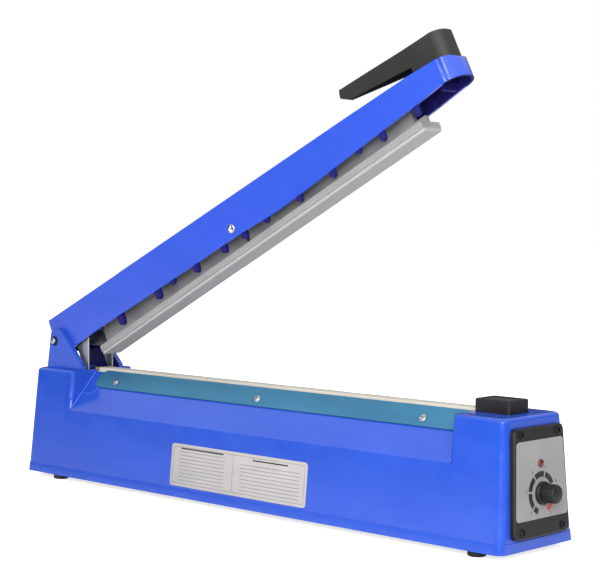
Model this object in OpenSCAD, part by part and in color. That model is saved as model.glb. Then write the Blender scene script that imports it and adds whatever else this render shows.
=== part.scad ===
// Hand impulse sealer: moulded base with a sealing bar on a ridge, and a
// sprung lever arm that carries a floating pressure bar. Lengths in mm,
// Z up, X along the base from the hinge (rear) to the control panel (front),
// Y across. The arm is drawn open, as it stands at rest.

/* [Base] */
// Overall length of the base
base_length = 554.4; // [540:0.1:700]
// Width of the base at its foot
base_width = 89; // [84:1:110]
// Width of the base at its top
top_width = 70; // [66:1:80]
// How far the front end leans in from foot to top
front_lean = 5; // [2:0.5:10]
// How far the rear end leans in from foot to top
rear_lean = 2.6; // [1:0.1:8]
// Height of the end blocks above the table
block_top = 100.6; // [99:0.1:110]
// Wall of the base moulding
base_wall = 2.5; // [2:0.1:4]
// Length of the rear block at its top
rear_block = 58; // [54:1:70]
// Length of the front block
front_block = 51.6; // [51:0.1:60]
// Height of the fold where the sloping shelf starts
fold_z = 65; // [55:1:70]
// Height of the ridge that the seal rail lies on
ridge_z = 98.7; // [96:0.1:99]
// Half width of the flat ridge
ridge_half = 7.5; // [7:0.1:9]
// Corner radius of the base in plan
corner_r = 6.5; // [5:0.5:12]
// Edge rounding at the top of the end blocks
edge_r = 3; // [1:0.5:4]
// Thickness of the bottom plate
plate_t = 1.2; // [1:0.1:2]

/* [Feet] */
// Height of the rubber feet
foot_height = 5; // [3:0.5:6]
// Radius of the rubber feet
foot_r = 6.9; // [5:0.1:12]
// Rear feet, measured from the rear end
foot_rear_x = 39; // [30:1:80]
// Front feet, measured from the front end
foot_front_x = 29.4; // [14:0.1:60]
// Feet, measured from the middle plane
foot_y = 34; // [28:0.5:34]

/* [Seal rail] */
// Half width of the seal rail
rail_half = 6.1; // [5:0.1:6.6]
// Height of the seal rail
rail_height = 2.5; // [2:0.1:3]
// Thickness of the insulating strip
insulation_t = 0.5; // [0.3:0.1:1]
// Width of the heating element
element_width = 2; // [2:0.5:5]
// Thickness of the heating element
element_t = 0.3; // [0.2:0.1:0.4]
// Thickness of the non-stick cloth
cloth_t = 0.4; // [0.2:0.1:0.5]
// Width of each clamp plate
clamp_width = 19; // [14:0.1:20]
// Thickness of each clamp plate
clamp_t = 1; // [0.8:0.1:1.5]
// Radius of the clamp screw heads
clamp_screw_r = 3; // [2:0.1:4]

/* [Hinge] */
// Hinge axis, measured from the rear end
pivot_x = 16.8; // [15:0.1:22]
// Height of the hinge axis
pivot_z = 125.3; // [122:0.1:130]
// Radius of the hinge pin
pin_r = 2.6; // [2:0.1:4]
// Running gap round the hinge pin
pin_gap = 0.06; // [0.02:0.01:0.1]
// Outer faces of the ears, from the middle plane
ear_out = 24; // [23:0.1:26]
// Thickness of each ear
ear_t = 4.6; // [3:0.1:4.7]
// Angle of the open arm above the level
open_angle = 26.7; // [20:0.1:30]

/* [Arm] */
// Length of the arm ahead of the hinge
arm_length = 521; // [518:0.5:524]
// Length of the arm behind the hinge
arm_tail = 8; // [6:0.5:10]
// Half width of the arm at the hinge
arm_half_rear = 18.8; // [18:0.1:19]
// Half width of the arm at the nose
arm_half_nose = 15; // [14.5:0.1:16]
// Wall of the arm moulding
arm_wall = 2.2; // [1.8:0.1:2.4]
// Height of the arm top above the hinge axis at the tail
arm_top_rear = 23.2; // [22:0.1:26]
// Height of the arm top above the hinge axis at the nose
arm_top_nose = 6.5; // [5:0.1:9]

/* [Pressure bar] */
// Length of the pressure bar
bar_length = 428; // [410:1:430]
// Start of the pressure bar ahead of the hinge axis
bar_start = 44.5; // [43:0.5:48]
// Half width of the bar flange
flange_half = 11; // [9:0.1:11.2]
// Thickness of the bar flange
flange_t = 5.4; // [4:0.1:6]
// Thickness of the bar web
web_t = 4; // [3:0.1:6]
// Height of the web above the flange
web_height = 19; // [18.5:0.1:20]
// Underside of the silicone strip below the hinge axis
strip_bottom = 33.3; // [33:0.1:34]
// Thickness of the silicone strip
strip_t = 2.5; // [2:0.1:3]
// Half width of the silicone strip
strip_half = 9.8; // [5:0.1:10.6]
// Travel of the pressure bar into the arm
bar_travel = 10.8; // [9:0.1:10.8]

/* [Handle] */
// Half width of the handle at the nose
handle_half = 12; // [11:0.1:14]
// Half width of the handle at its tip
tip_half = 1.6; // [1:0.1:5]
// Wall of the handle moulding
handle_wall = 2.2; // [1.8:0.1:2.5]

/* [Button] */
// Length of the push button
button_length = 32.2; // [28:0.1:32.5]
// Width of the push button
button_width = 24; // [18:0.5:28]
// Height of the push button above the block
button_rise = 10; // [8:0.1:10.4]
// Stroke of the push button
button_stroke = 3.5; // [2:0.1:4]
// Gap round the push button stem
button_gap = 0.4; // [0.3:0.05:0.8]

/* [Panel] */
// Half width of the control panel at its foot
panel_half_foot = 33.2; // [32:0.5:36]
// Half width of the control panel at its top
panel_half_top = 29.7; // [28:0.5:32]
// Height of the foot of the control panel
panel_foot_z = 14; // [12:0.5:20]
// Height of the top of the control panel
panel_top_z = 93; // [88:0.5:95]
// How far the control panel stands out
panel_out = 4.6; // [3.5:0.1:8]
// Height of the timer knob axis
knob_z = 45; // [43:0.5:48]
// Radius of the timer knob
knob_r = 6.5; // [5:0.1:8]
// Radius of the skirt of the timer knob
knob_skirt_r = 8.5; // [7:0.1:9]
// How far the timer knob stands out from the panel
knob_out = 14; // [10:0.5:16]
// Radius of the timer shaft
shaft_r = 3; // [2:0.1:3.2]
// Height of the indicator lamp
lamp_z = 66.5; // [64:0.5:72]
// Radius of the indicator lamp
lamp_r = 3; // [2:0.1:3.4]

/* [Inside] */
// Length of the transformer core
core_length = 66; // [50:1:80]
// Width of the transformer core
core_width = 54; // [40:1:56]
// Height of the transformer core
core_height = 44; // [30:1:46]
// Radius of the cord gland bore
gland_r = 4; // [3:0.1:5]
// Length of the cord gland
gland_length = 16; // [12:1:20]
// Height of the cord gland
gland_z = 24; // [18:1:40]

/* [Hidden] */

blue = "#3F5BE0";
black = "#26262A";
steel = "#B9BBBE";
seat = 0.3;
touch = 0.1;
big = 400;
skirt_out = 0.5;
skirt_top = 12.7;

// Positions along the base, from the middle of the open sealer's length
rear_x = -base_length / 2 - 6.8;
rear_face = rear_block;
front_face = base_length - front_block;
draft_h = block_top - foot_height;
half_foot = base_width / 2;
half_top = top_width / 2;
function half_at(z) = half_foot - (z - foot_height) * (half_foot - half_top) / draft_h;
function lean_at(z) = (z - foot_height) * front_lean / draft_h;
function rear_lean_at(z) = (z - foot_height) * rear_lean / draft_h;
fold_y = half_at(fold_z);
slope = atan2(ridge_z - fold_z, fold_y - ridge_half);
slope_len = norm([ridge_z - fold_z, fold_y - ridge_half]);
skin_drop = base_wall / cos(slope);

// Heights of the seal stack
rail_z = ridge_z + touch;
tape_z = rail_z + rail_height;
element_z = tape_z + insulation_t;
cloth_under = element_z + element_t + 0.05;
cloth_top = cloth_under + cloth_t;
rail_x0 = rear_block - 1;
rail_x1 = front_face - 2.3;
leg_x = rail_x0 - 4.4;
clamp_rise = 1.2;
clamp_s0 = slope_len + clamp_rise - clamp_width;
clamp_x0 = rear_block + 11.5;
clamp_round = 8;
clamp_screw_s = clamp_s0 + clamp_width / 2 - 2.8;
clamp_x1 = front_face - 0.5;
clamp_holes = [rear_block + 39, (rear_block + front_face) / 2, front_face - 44];
screw_r = 1.5;

// Hinge
ear_in = ear_out - ear_t;
pin_bore = pin_r + pin_gap;
well_x0 = rear_block - 31;
well_half = 16.4;
ear_round = 7.1;
ear_top_x = pivot_x + 1.2;
ear_top_z = pivot_z + 4.6;

// Arm
// Stretches places along the arm with its length
along = arm_length / 521;
function arm_half(u) = arm_half_rear - (arm_half_rear - arm_half_nose) * u / (515 * along);
arm_top_line = [[-arm_tail, arm_top_rear], [407 * along, arm_top_nose + 5.1],
    [479 * along, arm_top_nose + 2.5], [arm_length - 9, arm_top_nose]];
function arm_top(u) = lookup(u, arm_top_line);
nose_r = 14.4;
rim_full = [[16, -14], [60, -13.5], [139, -15.3], [200, -16.6], [256, -17.3],
    [313, -20], [362, -18.7], [377, -18], [413, -16.5], [478, -14.3], [505, -12.8]];
rim = [for (p = rim_full) [p[0] * along, p[1]]];
rim_nose = -12.5;
press_u = arm_length - 22.5;
press_v = block_top + button_rise + seat - pivot_z;
handle_screw_u = [arm_length - 35, arm_length - 15.5];
cross_u = 256.4;
cross_v = -9.4;
cross_r = 1.6;

// Pressure bar, heights measured in the arm's own frame
flange_v0 = -strip_bottom + strip_t;
flange_v1 = flange_v0 + flange_t;
web_v1 = flange_v1 + web_height;
bar_end = bar_start + bar_length;
bar_spring_u = [120, 400];
spring_notch = 16.9;
spring_turns = 4;
web_end = 5.8;
end_notch = 12;
lug_rise = 3.5;
spring_wire = 0.7;
spring_r = 3;

// Bracket that joins the arm to the lift springs
bracket_y = 13.2;
bracket_t = 1.5;
bracket_x0 = pivot_x + 32;
bracket_x1 = pivot_x + 38.6;
bracket_foot_z = 69;
hook_x = pivot_x + 35.3;
hook_z = 74;
lift_r = 3.4;
lift_wire = 0.9;
anchor_x = rear_block + 48;
anchor_z = 70;
anchor_r = 2;

// Button and switch
button_x = base_length - 34.1;
button_top = block_top + button_rise;
deck_under = block_top - base_wall;
button_floor = deck_under - 10;
button_wall = 2;
button_lip = 2;
lip_t = 1.6;
stem_r = 4;
stem_end = deck_under - 18;
button_spring_r = 6;
bracket_floor = 60;
switch_h = 12;
switch_z = bracket_floor + 2.5 + touch;
spring_base = switch_z + switch_h - 8;

// Panel
panel_x = base_length - lean_at(panel_foot_z);
panel_tilt = atan2(front_lean, draft_h);
panel_h = (panel_top_z - panel_foot_z) / cos(panel_tilt);
label_t = 0.4;
frame_bevel = 1;
panel_back = seat;
shaft_bore = shaft_r + 0.08;
pot_depth = 9;
neck_r = 5;

// Transformer and floor
floor_z = foot_height;
inner_floor = floor_z + plate_t;
trafo_x = 212;

// ---------- helpers ----------

// Moves a shape from base measures, with x from the rear end, to the part's origin
module placed() {
    translate([rear_x, 0, 0]) children();
}

// Places a shape in the frame of the open arm: x along it, z up from it
module on_arm() {
    translate([pivot_x, 0, pivot_z]) rotate([0, -open_angle, 0]) children();
}

// Near (side 1) or far (side -1) half
module side_of(side) {
    if (side > 0) children();
    else mirror([0, 1, 0]) children();
}

// Frame of the sloping shelf: y up the slope from the fold, z out of it
module on_slope(side) {
    side_of(side) translate([0, -fold_y, fold_z]) rotate([slope, 0, 0]) children();
}

// Frame of the leaning control panel: x out of it, z up it from its foot
module on_panel() {
    translate([panel_x, 0, panel_foot_z]) rotate([0, -panel_tilt, 0]) children();
}

module rounded(x0, x1, half, r) {
    translate([x0 + r, -half + r]) circle(r = r, $fn = 32);
    translate([x0 + r, half - r]) circle(r = r, $fn = 32);
    translate([x1 - r, -half + r]) circle(r = r, $fn = 32);
    translate([x1 - r, half - r]) circle(r = r, $fn = 32);
    translate([x0 + r, -half]) square([x1 - x0 - 2 * r, 2 * half]);
    translate([x0, -half + r]) square([x1 - x0, 2 * half - 2 * r]);
}

// One level of the drafted base, as a thin ring for hull()
module level(z, inset, cut) {
    translate([0, 0, z]) linear_extrude(height = 0.1)
        rounded(rear_lean_at(z) + inset + cut, base_length - lean_at(z) - inset - cut,
            half_at(z) - inset - cut, max(corner_r - inset, 3));
}

module drafted(z0, z1, inset, round_r) {
    hull() {
        level(z0, inset, 0);
        level(z1 - round_r, inset, 0);
        level(z1 - round_r * 0.6, inset, round_r * 0.08);
        level(z1 - round_r * 0.2, inset, round_r * 0.4);
        level(z1 - 0.1, inset, round_r);
    }
}

// Space above the sloping shelf and the ridge
module shelf_space(drop, x0, x1) {
    translate([x0, 0, 0]) rotate([90, 0, 90]) linear_extrude(height = x1 - x0)
        polygon([[-60, fold_z - drop], [-fold_y, fold_z - drop], [-ridge_half, ridge_z - drop],
            [ridge_half, ridge_z - drop], [fold_y, fold_z - drop], [60, fold_z - drop],
            [60, 160], [-60, 160]]);
}

module ear_profile() {
    hull() {
        translate([ear_top_x, ear_top_z]) circle(r = ear_round, $fn = 48);
        translate([ear_top_x + 3.5, ear_top_z]) circle(r = ear_round, $fn = 48);
        translate([pivot_x - 10.9, block_top - 4]) square([rear_block - pivot_x + 9, 3]);
        translate([pivot_x - 10.9, block_top - 2]) square([rear_block - pivot_x + 12, 2.4]);
        translate([rear_block - 10, block_top + 2]) square([9.5, 1.4]);
    }
}

module ear(side) {
    y0 = side > 0 ? -ear_out : ear_in;
    translate([0, y0 + ear_t, 0]) rotate([90, 0, 0]) linear_extrude(height = ear_t) difference() {
        ear_profile();
        translate([pivot_x, pivot_z]) circle(r = pin_bore, $fn = 48);
    }
}

module boss(p) {
    translate([p[0], p[1], inner_floor]) difference() {
        cylinder(r = 3.4, h = deck_under + 1 - inner_floor, $fn = 32);
        translate([0, 0, -1]) cylinder(r = 1.3, h = 13, $fn = 24);
    }
}

plate_screws = [[20, -24], [20, 24], [180, -30], [180, 30], [370, -30], [370, 30],
    [base_length - 60, -30], [base_length - 60, 30]];

// ---------- base ----------

module base_hollow() {
    difference() {
        translate([0, 0, -1]) drafted(foot_height, deck_under + 1, base_wall, 1);
        shelf_space(skin_drop, rear_face - base_wall, front_face + base_wall);
    }
}

// Low skirt round the foot of the base
module skirt() {
    hull() {
        level(foot_height, -skirt_out, 0);
        level(skirt_top - 0.5, -skirt_out, 0);
        level(skirt_top - 0.1, -skirt_out, 0.3);
    }
}

module base_shell() {
    color(blue) placed() {
        difference() {
            union() {
                difference() {
                    union() {
                        drafted(foot_height, block_top, 0, edge_r);
                        skirt();
                    }
                    base_hollow();
                }
                // Screw posts, spring anchor ribs, switch bracket and pedestal of the rear terminal
                for (p = plate_screws) boss(p);
                for (s = [-1, 1]) translate([anchor_x - 5, s * 20.4 - 1.25, anchor_z - 6])
                    cube([10, 2.5, ridge_z - 4 - anchor_z]);
                translate([button_x - 13, 16, bracket_floor]) cube([24, 2.5, deck_under + 1 - bracket_floor]);
                translate([button_x - 13, -8, bracket_floor]) cube([24, 25, 2.5]);
                for (s = [-1, 1]) ear(s);
            }
            shelf_space(0, rear_face, front_face);
            // Well that the bracket and the rear terminal stand in
            translate([well_x0, -well_half, fold_z]) cube([rear_face - 2 - well_x0, 2 * well_half, block_top]);
            translate([well_x0, -rail_half - 0.7, ridge_z]) cube([rear_face + 8 - well_x0, 2 * rail_half + 1.4, 10]);
            // Slot for the front end of the heating element
            translate([rail_x1 + 0.1, -element_width / 2 - 1, ridge_z - 10]) cube([1.4, element_width + 2, 20]);
            // Screw holes of the clamp plates
            for (s = [-1, 1]) for (x = clamp_holes) on_slope(s)
                translate([x, clamp_screw_s, -9]) cylinder(r = screw_r, h = 20, $fn = 24);
            // Holes for the spring anchor, button, timer, lamp, panel screws and cord gland
            translate([anchor_x, 30, anchor_z]) rotate([90, 0, 0]) cylinder(r = anchor_r + 0.05, h = 60, $fn = 32);
            translate([button_x - button_length / 2 - button_gap, -button_width / 2 - button_gap, button_floor - button_stroke - 1])
                cube([button_length + 2 * button_gap, button_width + 2 * button_gap, block_top]);
            on_panel() {
                panel_hole(0, knob_z - panel_foot_z, neck_r + 0.3, 10);
                panel_hole(0, lamp_z - panel_foot_z, lamp_r + 0.4, 10);
                for (p = panel_screw_at) panel_hole(p[0], p[1], screw_r, 10);
            }
            translate([-5, 0, gland_z]) rotate([0, 90, 0]) cylinder(r = gland_r + 2.6, h = 16, $fn = 48);
        }
        translate([rear_face - 14, -6, deck_under - 7]) cube([13.5, 12, 4.5]);
    }
}

module panel_hole(y, z, r, back) {
    translate([-back, y, z]) rotate([0, 90, 0]) cylinder(r = r, h = back + panel_out + 5, $fn = 48);
}

module bottom_plate() {
    color(steel) placed() difference() {
        translate([0, 0, floor_z]) linear_extrude(height = plate_t)
            rounded(base_wall + 0.6, base_length - base_wall - 0.6, half_foot - base_wall - 0.6, corner_r - base_wall);
        for (p = plate_screws) translate([p[0], p[1], 0]) cylinder(r = 1.7, h = 20, $fn = 24);
        for (p = feet_at) translate([p[0], p[1], 0]) cylinder(r = 2.1, h = 20, $fn = 24);
    }
}

feet_at = [[foot_rear_x, -foot_y], [foot_rear_x, foot_y],
    [base_length - foot_front_x, -foot_y], [base_length - foot_front_x, foot_y]];

module feet() {
    color(black) placed() for (p = feet_at) translate([p[0], p[1], 0]) rotate_extrude($fn = 48)
        polygon([[0, 0], [foot_r - 0.8, 0], [foot_r, 0.8], [foot_r, foot_height], [2, foot_height],
            [2, foot_height + plate_t], [3.2, foot_height + plate_t], [2, foot_height + plate_t + 2], [0, foot_height + plate_t + 2]]);
}

module bottom_screws() {
    color(steel) placed() for (p = plate_screws) translate([p[0], p[1], floor_z - 1.4]) rotate_extrude($fn = 32)
        polygon([[0, 0.4], [0.8, 0.4], [0.8, 0], [2.2, 0], [2.8, 0.6], [2.8, 1.4], [1.2, 1.4], [1.2, 11], [0, 11]]);
}

module cord_gland() {
    color(black) placed() translate([rear_lean_at(gland_z) - 5, 0, gland_z]) rotate([0, 90, 0]) difference() {
        union() {
            cylinder(r = gland_r + 5, h = 5 - 0.5, $fn = 48);
            cylinder(r = gland_r + 2.4, h = gland_length, $fn = 48);
        }
        translate([0, 0, -1]) cylinder(r = gland_r, h = gland_length + 2, $fn = 48);
    }
}

// ---------- seal stack ----------

module seal_rail() {
    color("#B5B8BC") placed() translate([rail_x0, -rail_half, rail_z])
        cube([rail_x1 - rail_x0, 2 * rail_half, rail_height]);
}

module insulating_strip() {
    color("#8C7B5A") placed() translate([rail_x0, -rail_half, tape_z])
        cube([rail_x1 - rail_x0, 2 * rail_half, insulation_t]);
}

module heating_element() {
    leg = 7;
    x0 = leg_x;
    x1 = rail_x1 + 0.4;
    color("#A8A29A") placed() {
        translate([x0, -element_width / 2, element_z]) cube([x1 + element_t - x0, element_width, element_t]);
        translate([x0, -element_width / 2, element_z - leg + 3]) cube([element_t, element_width, leg - 2.9]);
        translate([x1, -element_width / 2, ridge_z - skin_drop - 5])
            cube([element_t, element_width, element_z - ridge_z + skin_drop + 5 + 0.1]);
    }
}

module terminal_rear() {
    z0 = deck_under - 2.4;
    color("#B98A3A") placed() translate([leg_x - seat, 0, 0]) {
        translate([-7, -4, z0]) cube([7, 8, block_top - 0.6 - z0]);
        translate([-3.5, 0, block_top - 0.7]) cylinder(r = 2.6, h = 1.9, $fn = 32);
    }
}

module terminal_front() {
    z1 = ridge_z - skin_drop - seat;
    color("#B98A3A") placed() translate([rail_x1 + 0.4 - seat - 7, 0, 0]) {
        translate([0, -4, z1 - 7]) cube([7, 8, 7]);
        translate([3.5, 0, z1 - 8.5]) cylinder(r = 2.6, h = 1.6, $fn = 32);
    }
}

module ptfe_cloth() {
    yi = rail_half + touch;
    yo = yi + cloth_t;
    dn = cloth_t / cos(slope);
    color("#BDB5A0") placed() {
        difference() {
            union() {
                translate([rail_x0 + 1.5, 0, 0]) rotate([90, 0, 90]) linear_extrude(height = rail_x1 - rail_x0)
                    polygon([[-ridge_half, ridge_z + touch], [-yi, ridge_z + touch], [-yi, cloth_under],
                        [yi, cloth_under], [yi, ridge_z + touch], [ridge_half, ridge_z + touch],
                        [ridge_half - 0.2, ridge_z + dn], [yo, ridge_z + dn], [yo, cloth_top - 0.4],
                        [yo - 0.4, cloth_top], [0.4 - yo, cloth_top], [-yo, cloth_top - 0.4],
                        [-yo, ridge_z + dn], [0.2 - ridge_half, ridge_z + dn]]);
                for (s = [-1, 1]) on_slope(s) translate([clamp_x0 + 3, clamp_s0 + 1.5, touch])
                    cube([clamp_x1 - clamp_x0 - 3.5, slope_len - clamp_s0 - 0.9, cloth_t]);
            }
            for (s = [-1, 1]) for (x = clamp_holes) on_slope(s)
                translate([x, clamp_screw_s, -5]) cylinder(r = screw_r, h = 10, $fn = 24);
            // Room over the ends of the element
            translate([0, -element_width / 2 - 0.3, cloth_under - 5]) cube([rail_x0 + 1, element_width + 0.6, 4.9]);
        }
    }
}

module clamp_plates() {
    r = clamp_round;
    n0 = cloth_t + 2 * touch;
    color("#4680A5") placed() for (s = [-1, 1]) on_slope(s) translate([0, 0, n0]) difference() {
        linear_extrude(height = clamp_t) {
            translate([clamp_x0 + r, clamp_s0]) square([clamp_x1 - clamp_x0 - r, clamp_width]);
            translate([clamp_x0, clamp_s0 + r]) square([r, clamp_width - 2 * r]);
            translate([clamp_x0 + r, clamp_s0 + r]) circle(r = r, $fn = 32);
            translate([clamp_x0 + r, clamp_s0 + clamp_width - r]) circle(r = r, $fn = 32);
        }
        for (x = clamp_holes) translate([x, clamp_screw_s, -5]) cylinder(r = screw_r + 0.1, h = 10, $fn = 24);
    }
}

module clamp_screws() {
    color(steel) placed() for (s = [-1, 1]) for (x = clamp_holes) on_slope(s)
        translate([x, clamp_screw_s, cloth_t + 2 * touch + clamp_t]) rotate_extrude($fn = 40)
            polygon([[0, -7], [screw_r - 0.1, -7], [screw_r - 0.1, 0.02], [clamp_screw_r, 0.02],
                [clamp_screw_r - 0.3, 0.9], [clamp_screw_r - 1, 1.5], [0.9, 1.7], [0.9, 1], [0, 1]]);
}

// ---------- hinge ----------

module hinge_pin() {
    reach = ear_out + 1.1;
    color(steel) placed() translate([pivot_x, 0, pivot_z]) rotate([90, 0, 0]) {
        translate([0, 0, -reach]) cylinder(r = pin_r, h = 2 * reach, $fn = 64);
        translate([0, 0, reach]) cylinder(r = pin_r + 0.1, h = 1.6, $fn = 48);
        translate([0, 0, -reach - 1.6]) cylinder(r = pin_r + 0.1, h = 1.6, $fn = 48);
    }
}

module pin_washers() {
    color(black) placed() translate([pivot_x, 0, pivot_z]) rotate([90, 0, 0]) for (s = [-1, 1])
        translate([0, 0, s * (ear_out + 0.55) - 0.5]) difference() {
            cylinder(r = 4.4, h = 1, $fn = 48);
            translate([0, 0, -1]) cylinder(r = pin_bore, h = 3, $fn = 48);
        }
}

module spring_anchor() {
    color(steel) placed() translate([anchor_x, 23, anchor_z]) rotate([90, 0, 0])
        cylinder(r = anchor_r, h = 46, $fn = 32);
}

// Close-wound tension springs from the bracket's feet to the anchor rod
module lift_springs() {
    run = norm([anchor_x - hook_x, anchor_z - hook_z]);
    tip = atan2(anchor_z - hook_z, anchor_x - hook_x);
    coil0 = 6.5;
    coil1 = run - 9;
    pitch = lift_wire * 1.9;
    turns = floor((coil1 - coil0) / pitch);
    loop_r = anchor_r + lift_wire + 0.15;
    y0 = bracket_y + bracket_t + lift_wire + 0.6;
    coil_r = lift_r - lift_wire;
    color("#8E9094") placed() for (s = [-1, 1]) translate([hook_x, s * y0, hook_z]) rotate([0, -tip, 0]) {
        translate([0, -s * 2.2, 0]) rotate([90, 0, 0]) cylinder(r = lift_wire, h = 5, center = true, $fn = 16);
        rotate([0, 90, 0]) cylinder(r = lift_wire, h = coil0 + lift_wire / 2, $fn = 16);
        for (x = [coil0, coil0 + turns * pitch]) translate([x, 0, -coil_r]) cylinder(r = lift_wire, h = coil_r + 0.2, $fn = 16);
        for (i = [0 : turns]) translate([coil0 + i * pitch, 0, 0]) rotate([0, 90, 0])
            rotate_extrude($fn = 24) translate([coil_r, 0]) circle(r = lift_wire, $fn = 13);
        translate([coil0 + turns * pitch, 0, 0]) rotate([0, 90, 0])
            cylinder(r = lift_wire, h = run - loop_r - coil0 - turns * pitch + 0.2, $fn = 16);
        translate([run, 0, 0]) rotate([90, 0, 0]) rotate_extrude($fn = 24)
            translate([loop_r, 0]) circle(r = lift_wire, $fn = 13);
    }
}

// ---------- inside the base ----------

module transformer_core() {
    color("#5A5C60") placed() translate([trafo_x, -core_width / 2, inner_floor]) difference() {
        cube([core_length, core_width, core_height]);
        for (x = [core_length * 0.2, core_length * 0.62]) translate([x, -1, core_height * 0.2])
            cube([core_length * 0.18, core_width + 2, core_height * 0.6]);
    }
}

module transformer_coil() {
    color("#B4763A") placed() translate([trafo_x, 0, inner_floor]) difference() {
        translate([core_length * 0.2 + seat, -core_width / 2 - 6, core_height * 0.2 + seat])
            cube([core_length * 0.6 - 2 * seat, core_width + 12, core_height * 0.6 - 2 * seat]);
        translate([core_length * 0.38 - seat, -core_width / 2 - seat, -1])
            cube([core_length * 0.24 + 2 * seat, core_width + 2 * seat, core_height]);
        translate([0, -core_width / 2 - seat, core_height * 0.2 - 0.01]) cube([core_length * 0.2 + seat, core_width + 2 * seat, core_height]);
    }
}

module timer_board() {
    color("#2E6B3C") placed() on_panel() translate([-base_wall - seat - pot_depth - seat - 1.6, 0, 0]) difference() {
        translate([0, -24, 6]) cube([1.6, 48, 56]);
        translate([-1, 0, knob_z - panel_foot_z]) rotate([0, 90, 0]) cylinder(r = shaft_r + 1, h = 5, $fn = 32);
    }
}

module timer_pot() {
    color("#3A3C40") placed() on_panel() translate([0, 0, knob_z - panel_foot_z]) rotate([0, 90, 0]) difference() {
        union() {
            translate([0, 0, -base_wall - seat - pot_depth]) cylinder(r = 8, h = pot_depth, $fn = 48);
            translate([0, 0, -base_wall - seat - 0.1]) cylinder(r = neck_r, h = base_wall + panel_out - 2, $fn = 48);
        }
        translate([0, 0, -base_wall - seat - pot_depth + 2]) cylinder(r = shaft_bore, h = big, $fn = 48);
    }
}

module micro_switch() {
    color(black) placed() translate([button_x - 10, -3, switch_z]) difference() {
        union() {
            cube([20, 6, switch_h]);
            translate([10, 3, switch_h - 0.1]) cylinder(r = 1.2, h = stem_end - switch_z - switch_h - button_stroke - 0.2, $fn = 24);
        }
        for (x = [4, 16]) translate([x, 8, 4]) rotate([90, 0, 0]) cylinder(r = 1, h = 12, $fn = 24);
    }
}

// ---------- control panel ----------

module panel_shape(inset) {
    r = 4.5;
    hull() {
        for (s = [-1, 1]) {
            translate([s * (panel_half_foot - inset - r), inset + r]) circle(r = r, $fn = 32);
            translate([s * (panel_half_top - inset - r), panel_h - inset - r]) circle(r = r, $fn = 32);
        }
    }
}

panel_screw_at = [[-24, 5], [24, 5], [-22, panel_h - 5], [22, panel_h - 5]];

module panel_frame() {
    color("#3A3A38") placed() on_panel() difference() {
        rotate([90, 0, 90]) hull() {
            translate([0, 0, seat]) linear_extrude(height = panel_out - frame_bevel - seat) panel_shape(0);
            translate([0, 0, seat]) linear_extrude(height = panel_out - seat) panel_shape(frame_bevel);
        }
        panel_hole(0, knob_z - panel_foot_z, neck_r + 0.3, 10);
        panel_hole(0, lamp_z - panel_foot_z, lamp_r + 0.1, 10);
        for (p = panel_screw_at) panel_hole(p[0], p[1], screw_r + 0.2, 10);
        translate([panel_out - label_t - 0.05, 0, 0]) rotate([90, 0, 90]) linear_extrude(height = 5) label_shape(0.15);
    }
}

module label_shape(grow) {
    r = 3;
    z0 = 13;
    z1 = panel_h - 9.5;
    hull() {
        for (s = [-1, 1]) {
            translate([s * (panel_half_foot - 2.2 - r), z0 + r]) circle(r = r + grow, $fn = 32);
            translate([s * (panel_half_top - 1.7 - r), z1 - r]) circle(r = r + grow, $fn = 32);
        }
    }
}

module panel_label() {
    color("#BFBFC0") placed() on_panel() difference() {
        translate([panel_out - label_t, 0, 0]) rotate([90, 0, 90]) linear_extrude(height = label_t) label_shape(0);
        panel_hole(0, knob_z - panel_foot_z, neck_r + 0.3, 10);
        panel_hole(0, lamp_z - panel_foot_z, lamp_r + 0.1, 10);
    }
}

module panel_screws() {
    color(steel) placed() on_panel() for (p = panel_screw_at) translate([panel_out, p[0], p[1]]) rotate([0, 90, 0])
        rotate_extrude($fn = 32) polygon([[0, -11], [screw_r - 0.1, -11], [screw_r - 0.1, 0.02],
            [2.9, 0.02], [2.6, 0.8], [1.9, 1.3], [0.8, 1.4], [0.8, 0.8], [0, 0.8]]);
}

module lamp() {
    color("#8E1E1E") placed() on_panel() translate([0, 0, lamp_z - panel_foot_z]) rotate([0, 90, 0]) {
        translate([0, 0, -5]) cylinder(r = lamp_r, h = panel_out + 5.2, $fn = 48);
        translate([0, 0, panel_out + 0.2 - lamp_r * 0.6]) intersection() {
            sphere(r = lamp_r * 1.16, $fn = 48);
            translate([0, 0, lamp_r * 0.6]) cylinder(r = lamp_r, h = lamp_r, $fn = 48);
        }
    }
}

module side_label() {
    z0 = 14.4;
    z1 = 50;
    tilt = atan2(half_foot - half_top, draft_h);
    color("#BFBFC0") placed() translate([201.5, -half_at(z0), z0]) rotate([90 - tilt, 0, 0])
        translate([0, 0, 0.02]) linear_extrude(height = label_t) {
            r = 3;
            w = 160.5;
            h = (z1 - z0) / cos(tilt);
            translate([r, 0]) square([w - 2 * r, h]);
            translate([0, r]) square([w, h - 2 * r]);
            for (x = [r, w - r]) for (y = [r, h - r]) translate([x, y]) circle(r = r, $fn = 32);
        }
}

// ---------- arm ----------

module arm_side(off) {
    polygon(concat([[-arm_tail + off, -9 + off]],
        [for (p = arm_top_line) [max(p[0], -arm_tail + off), p[1] - off]],
        [[arm_length - 3 - off, arm_top_nose - 1.2 - off], [arm_length - off, arm_top_nose - 5],
        [arm_length - off, rim_nose - 2 * off]],
        [for (i = [len(rim) - 1 : -1 : 0]) [rim[i][0], rim[i][1] - 4 * off]]));
}

module arm_plan(off) {
    hull() {
        translate([-arm_tail + off + 2, arm_half(0) - off - 2]) circle(r = 2, $fn = 32);
        translate([-arm_tail + off + 2, -arm_half(0) + off + 2]) circle(r = 2, $fn = 32);
        translate([arm_length - nose_r, arm_half(arm_length) - nose_r]) circle(r = nose_r - off, $fn = 48);
        translate([arm_length - nose_r, -arm_half(arm_length) + nose_r]) circle(r = nose_r - off, $fn = 48);
    }
}

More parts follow.
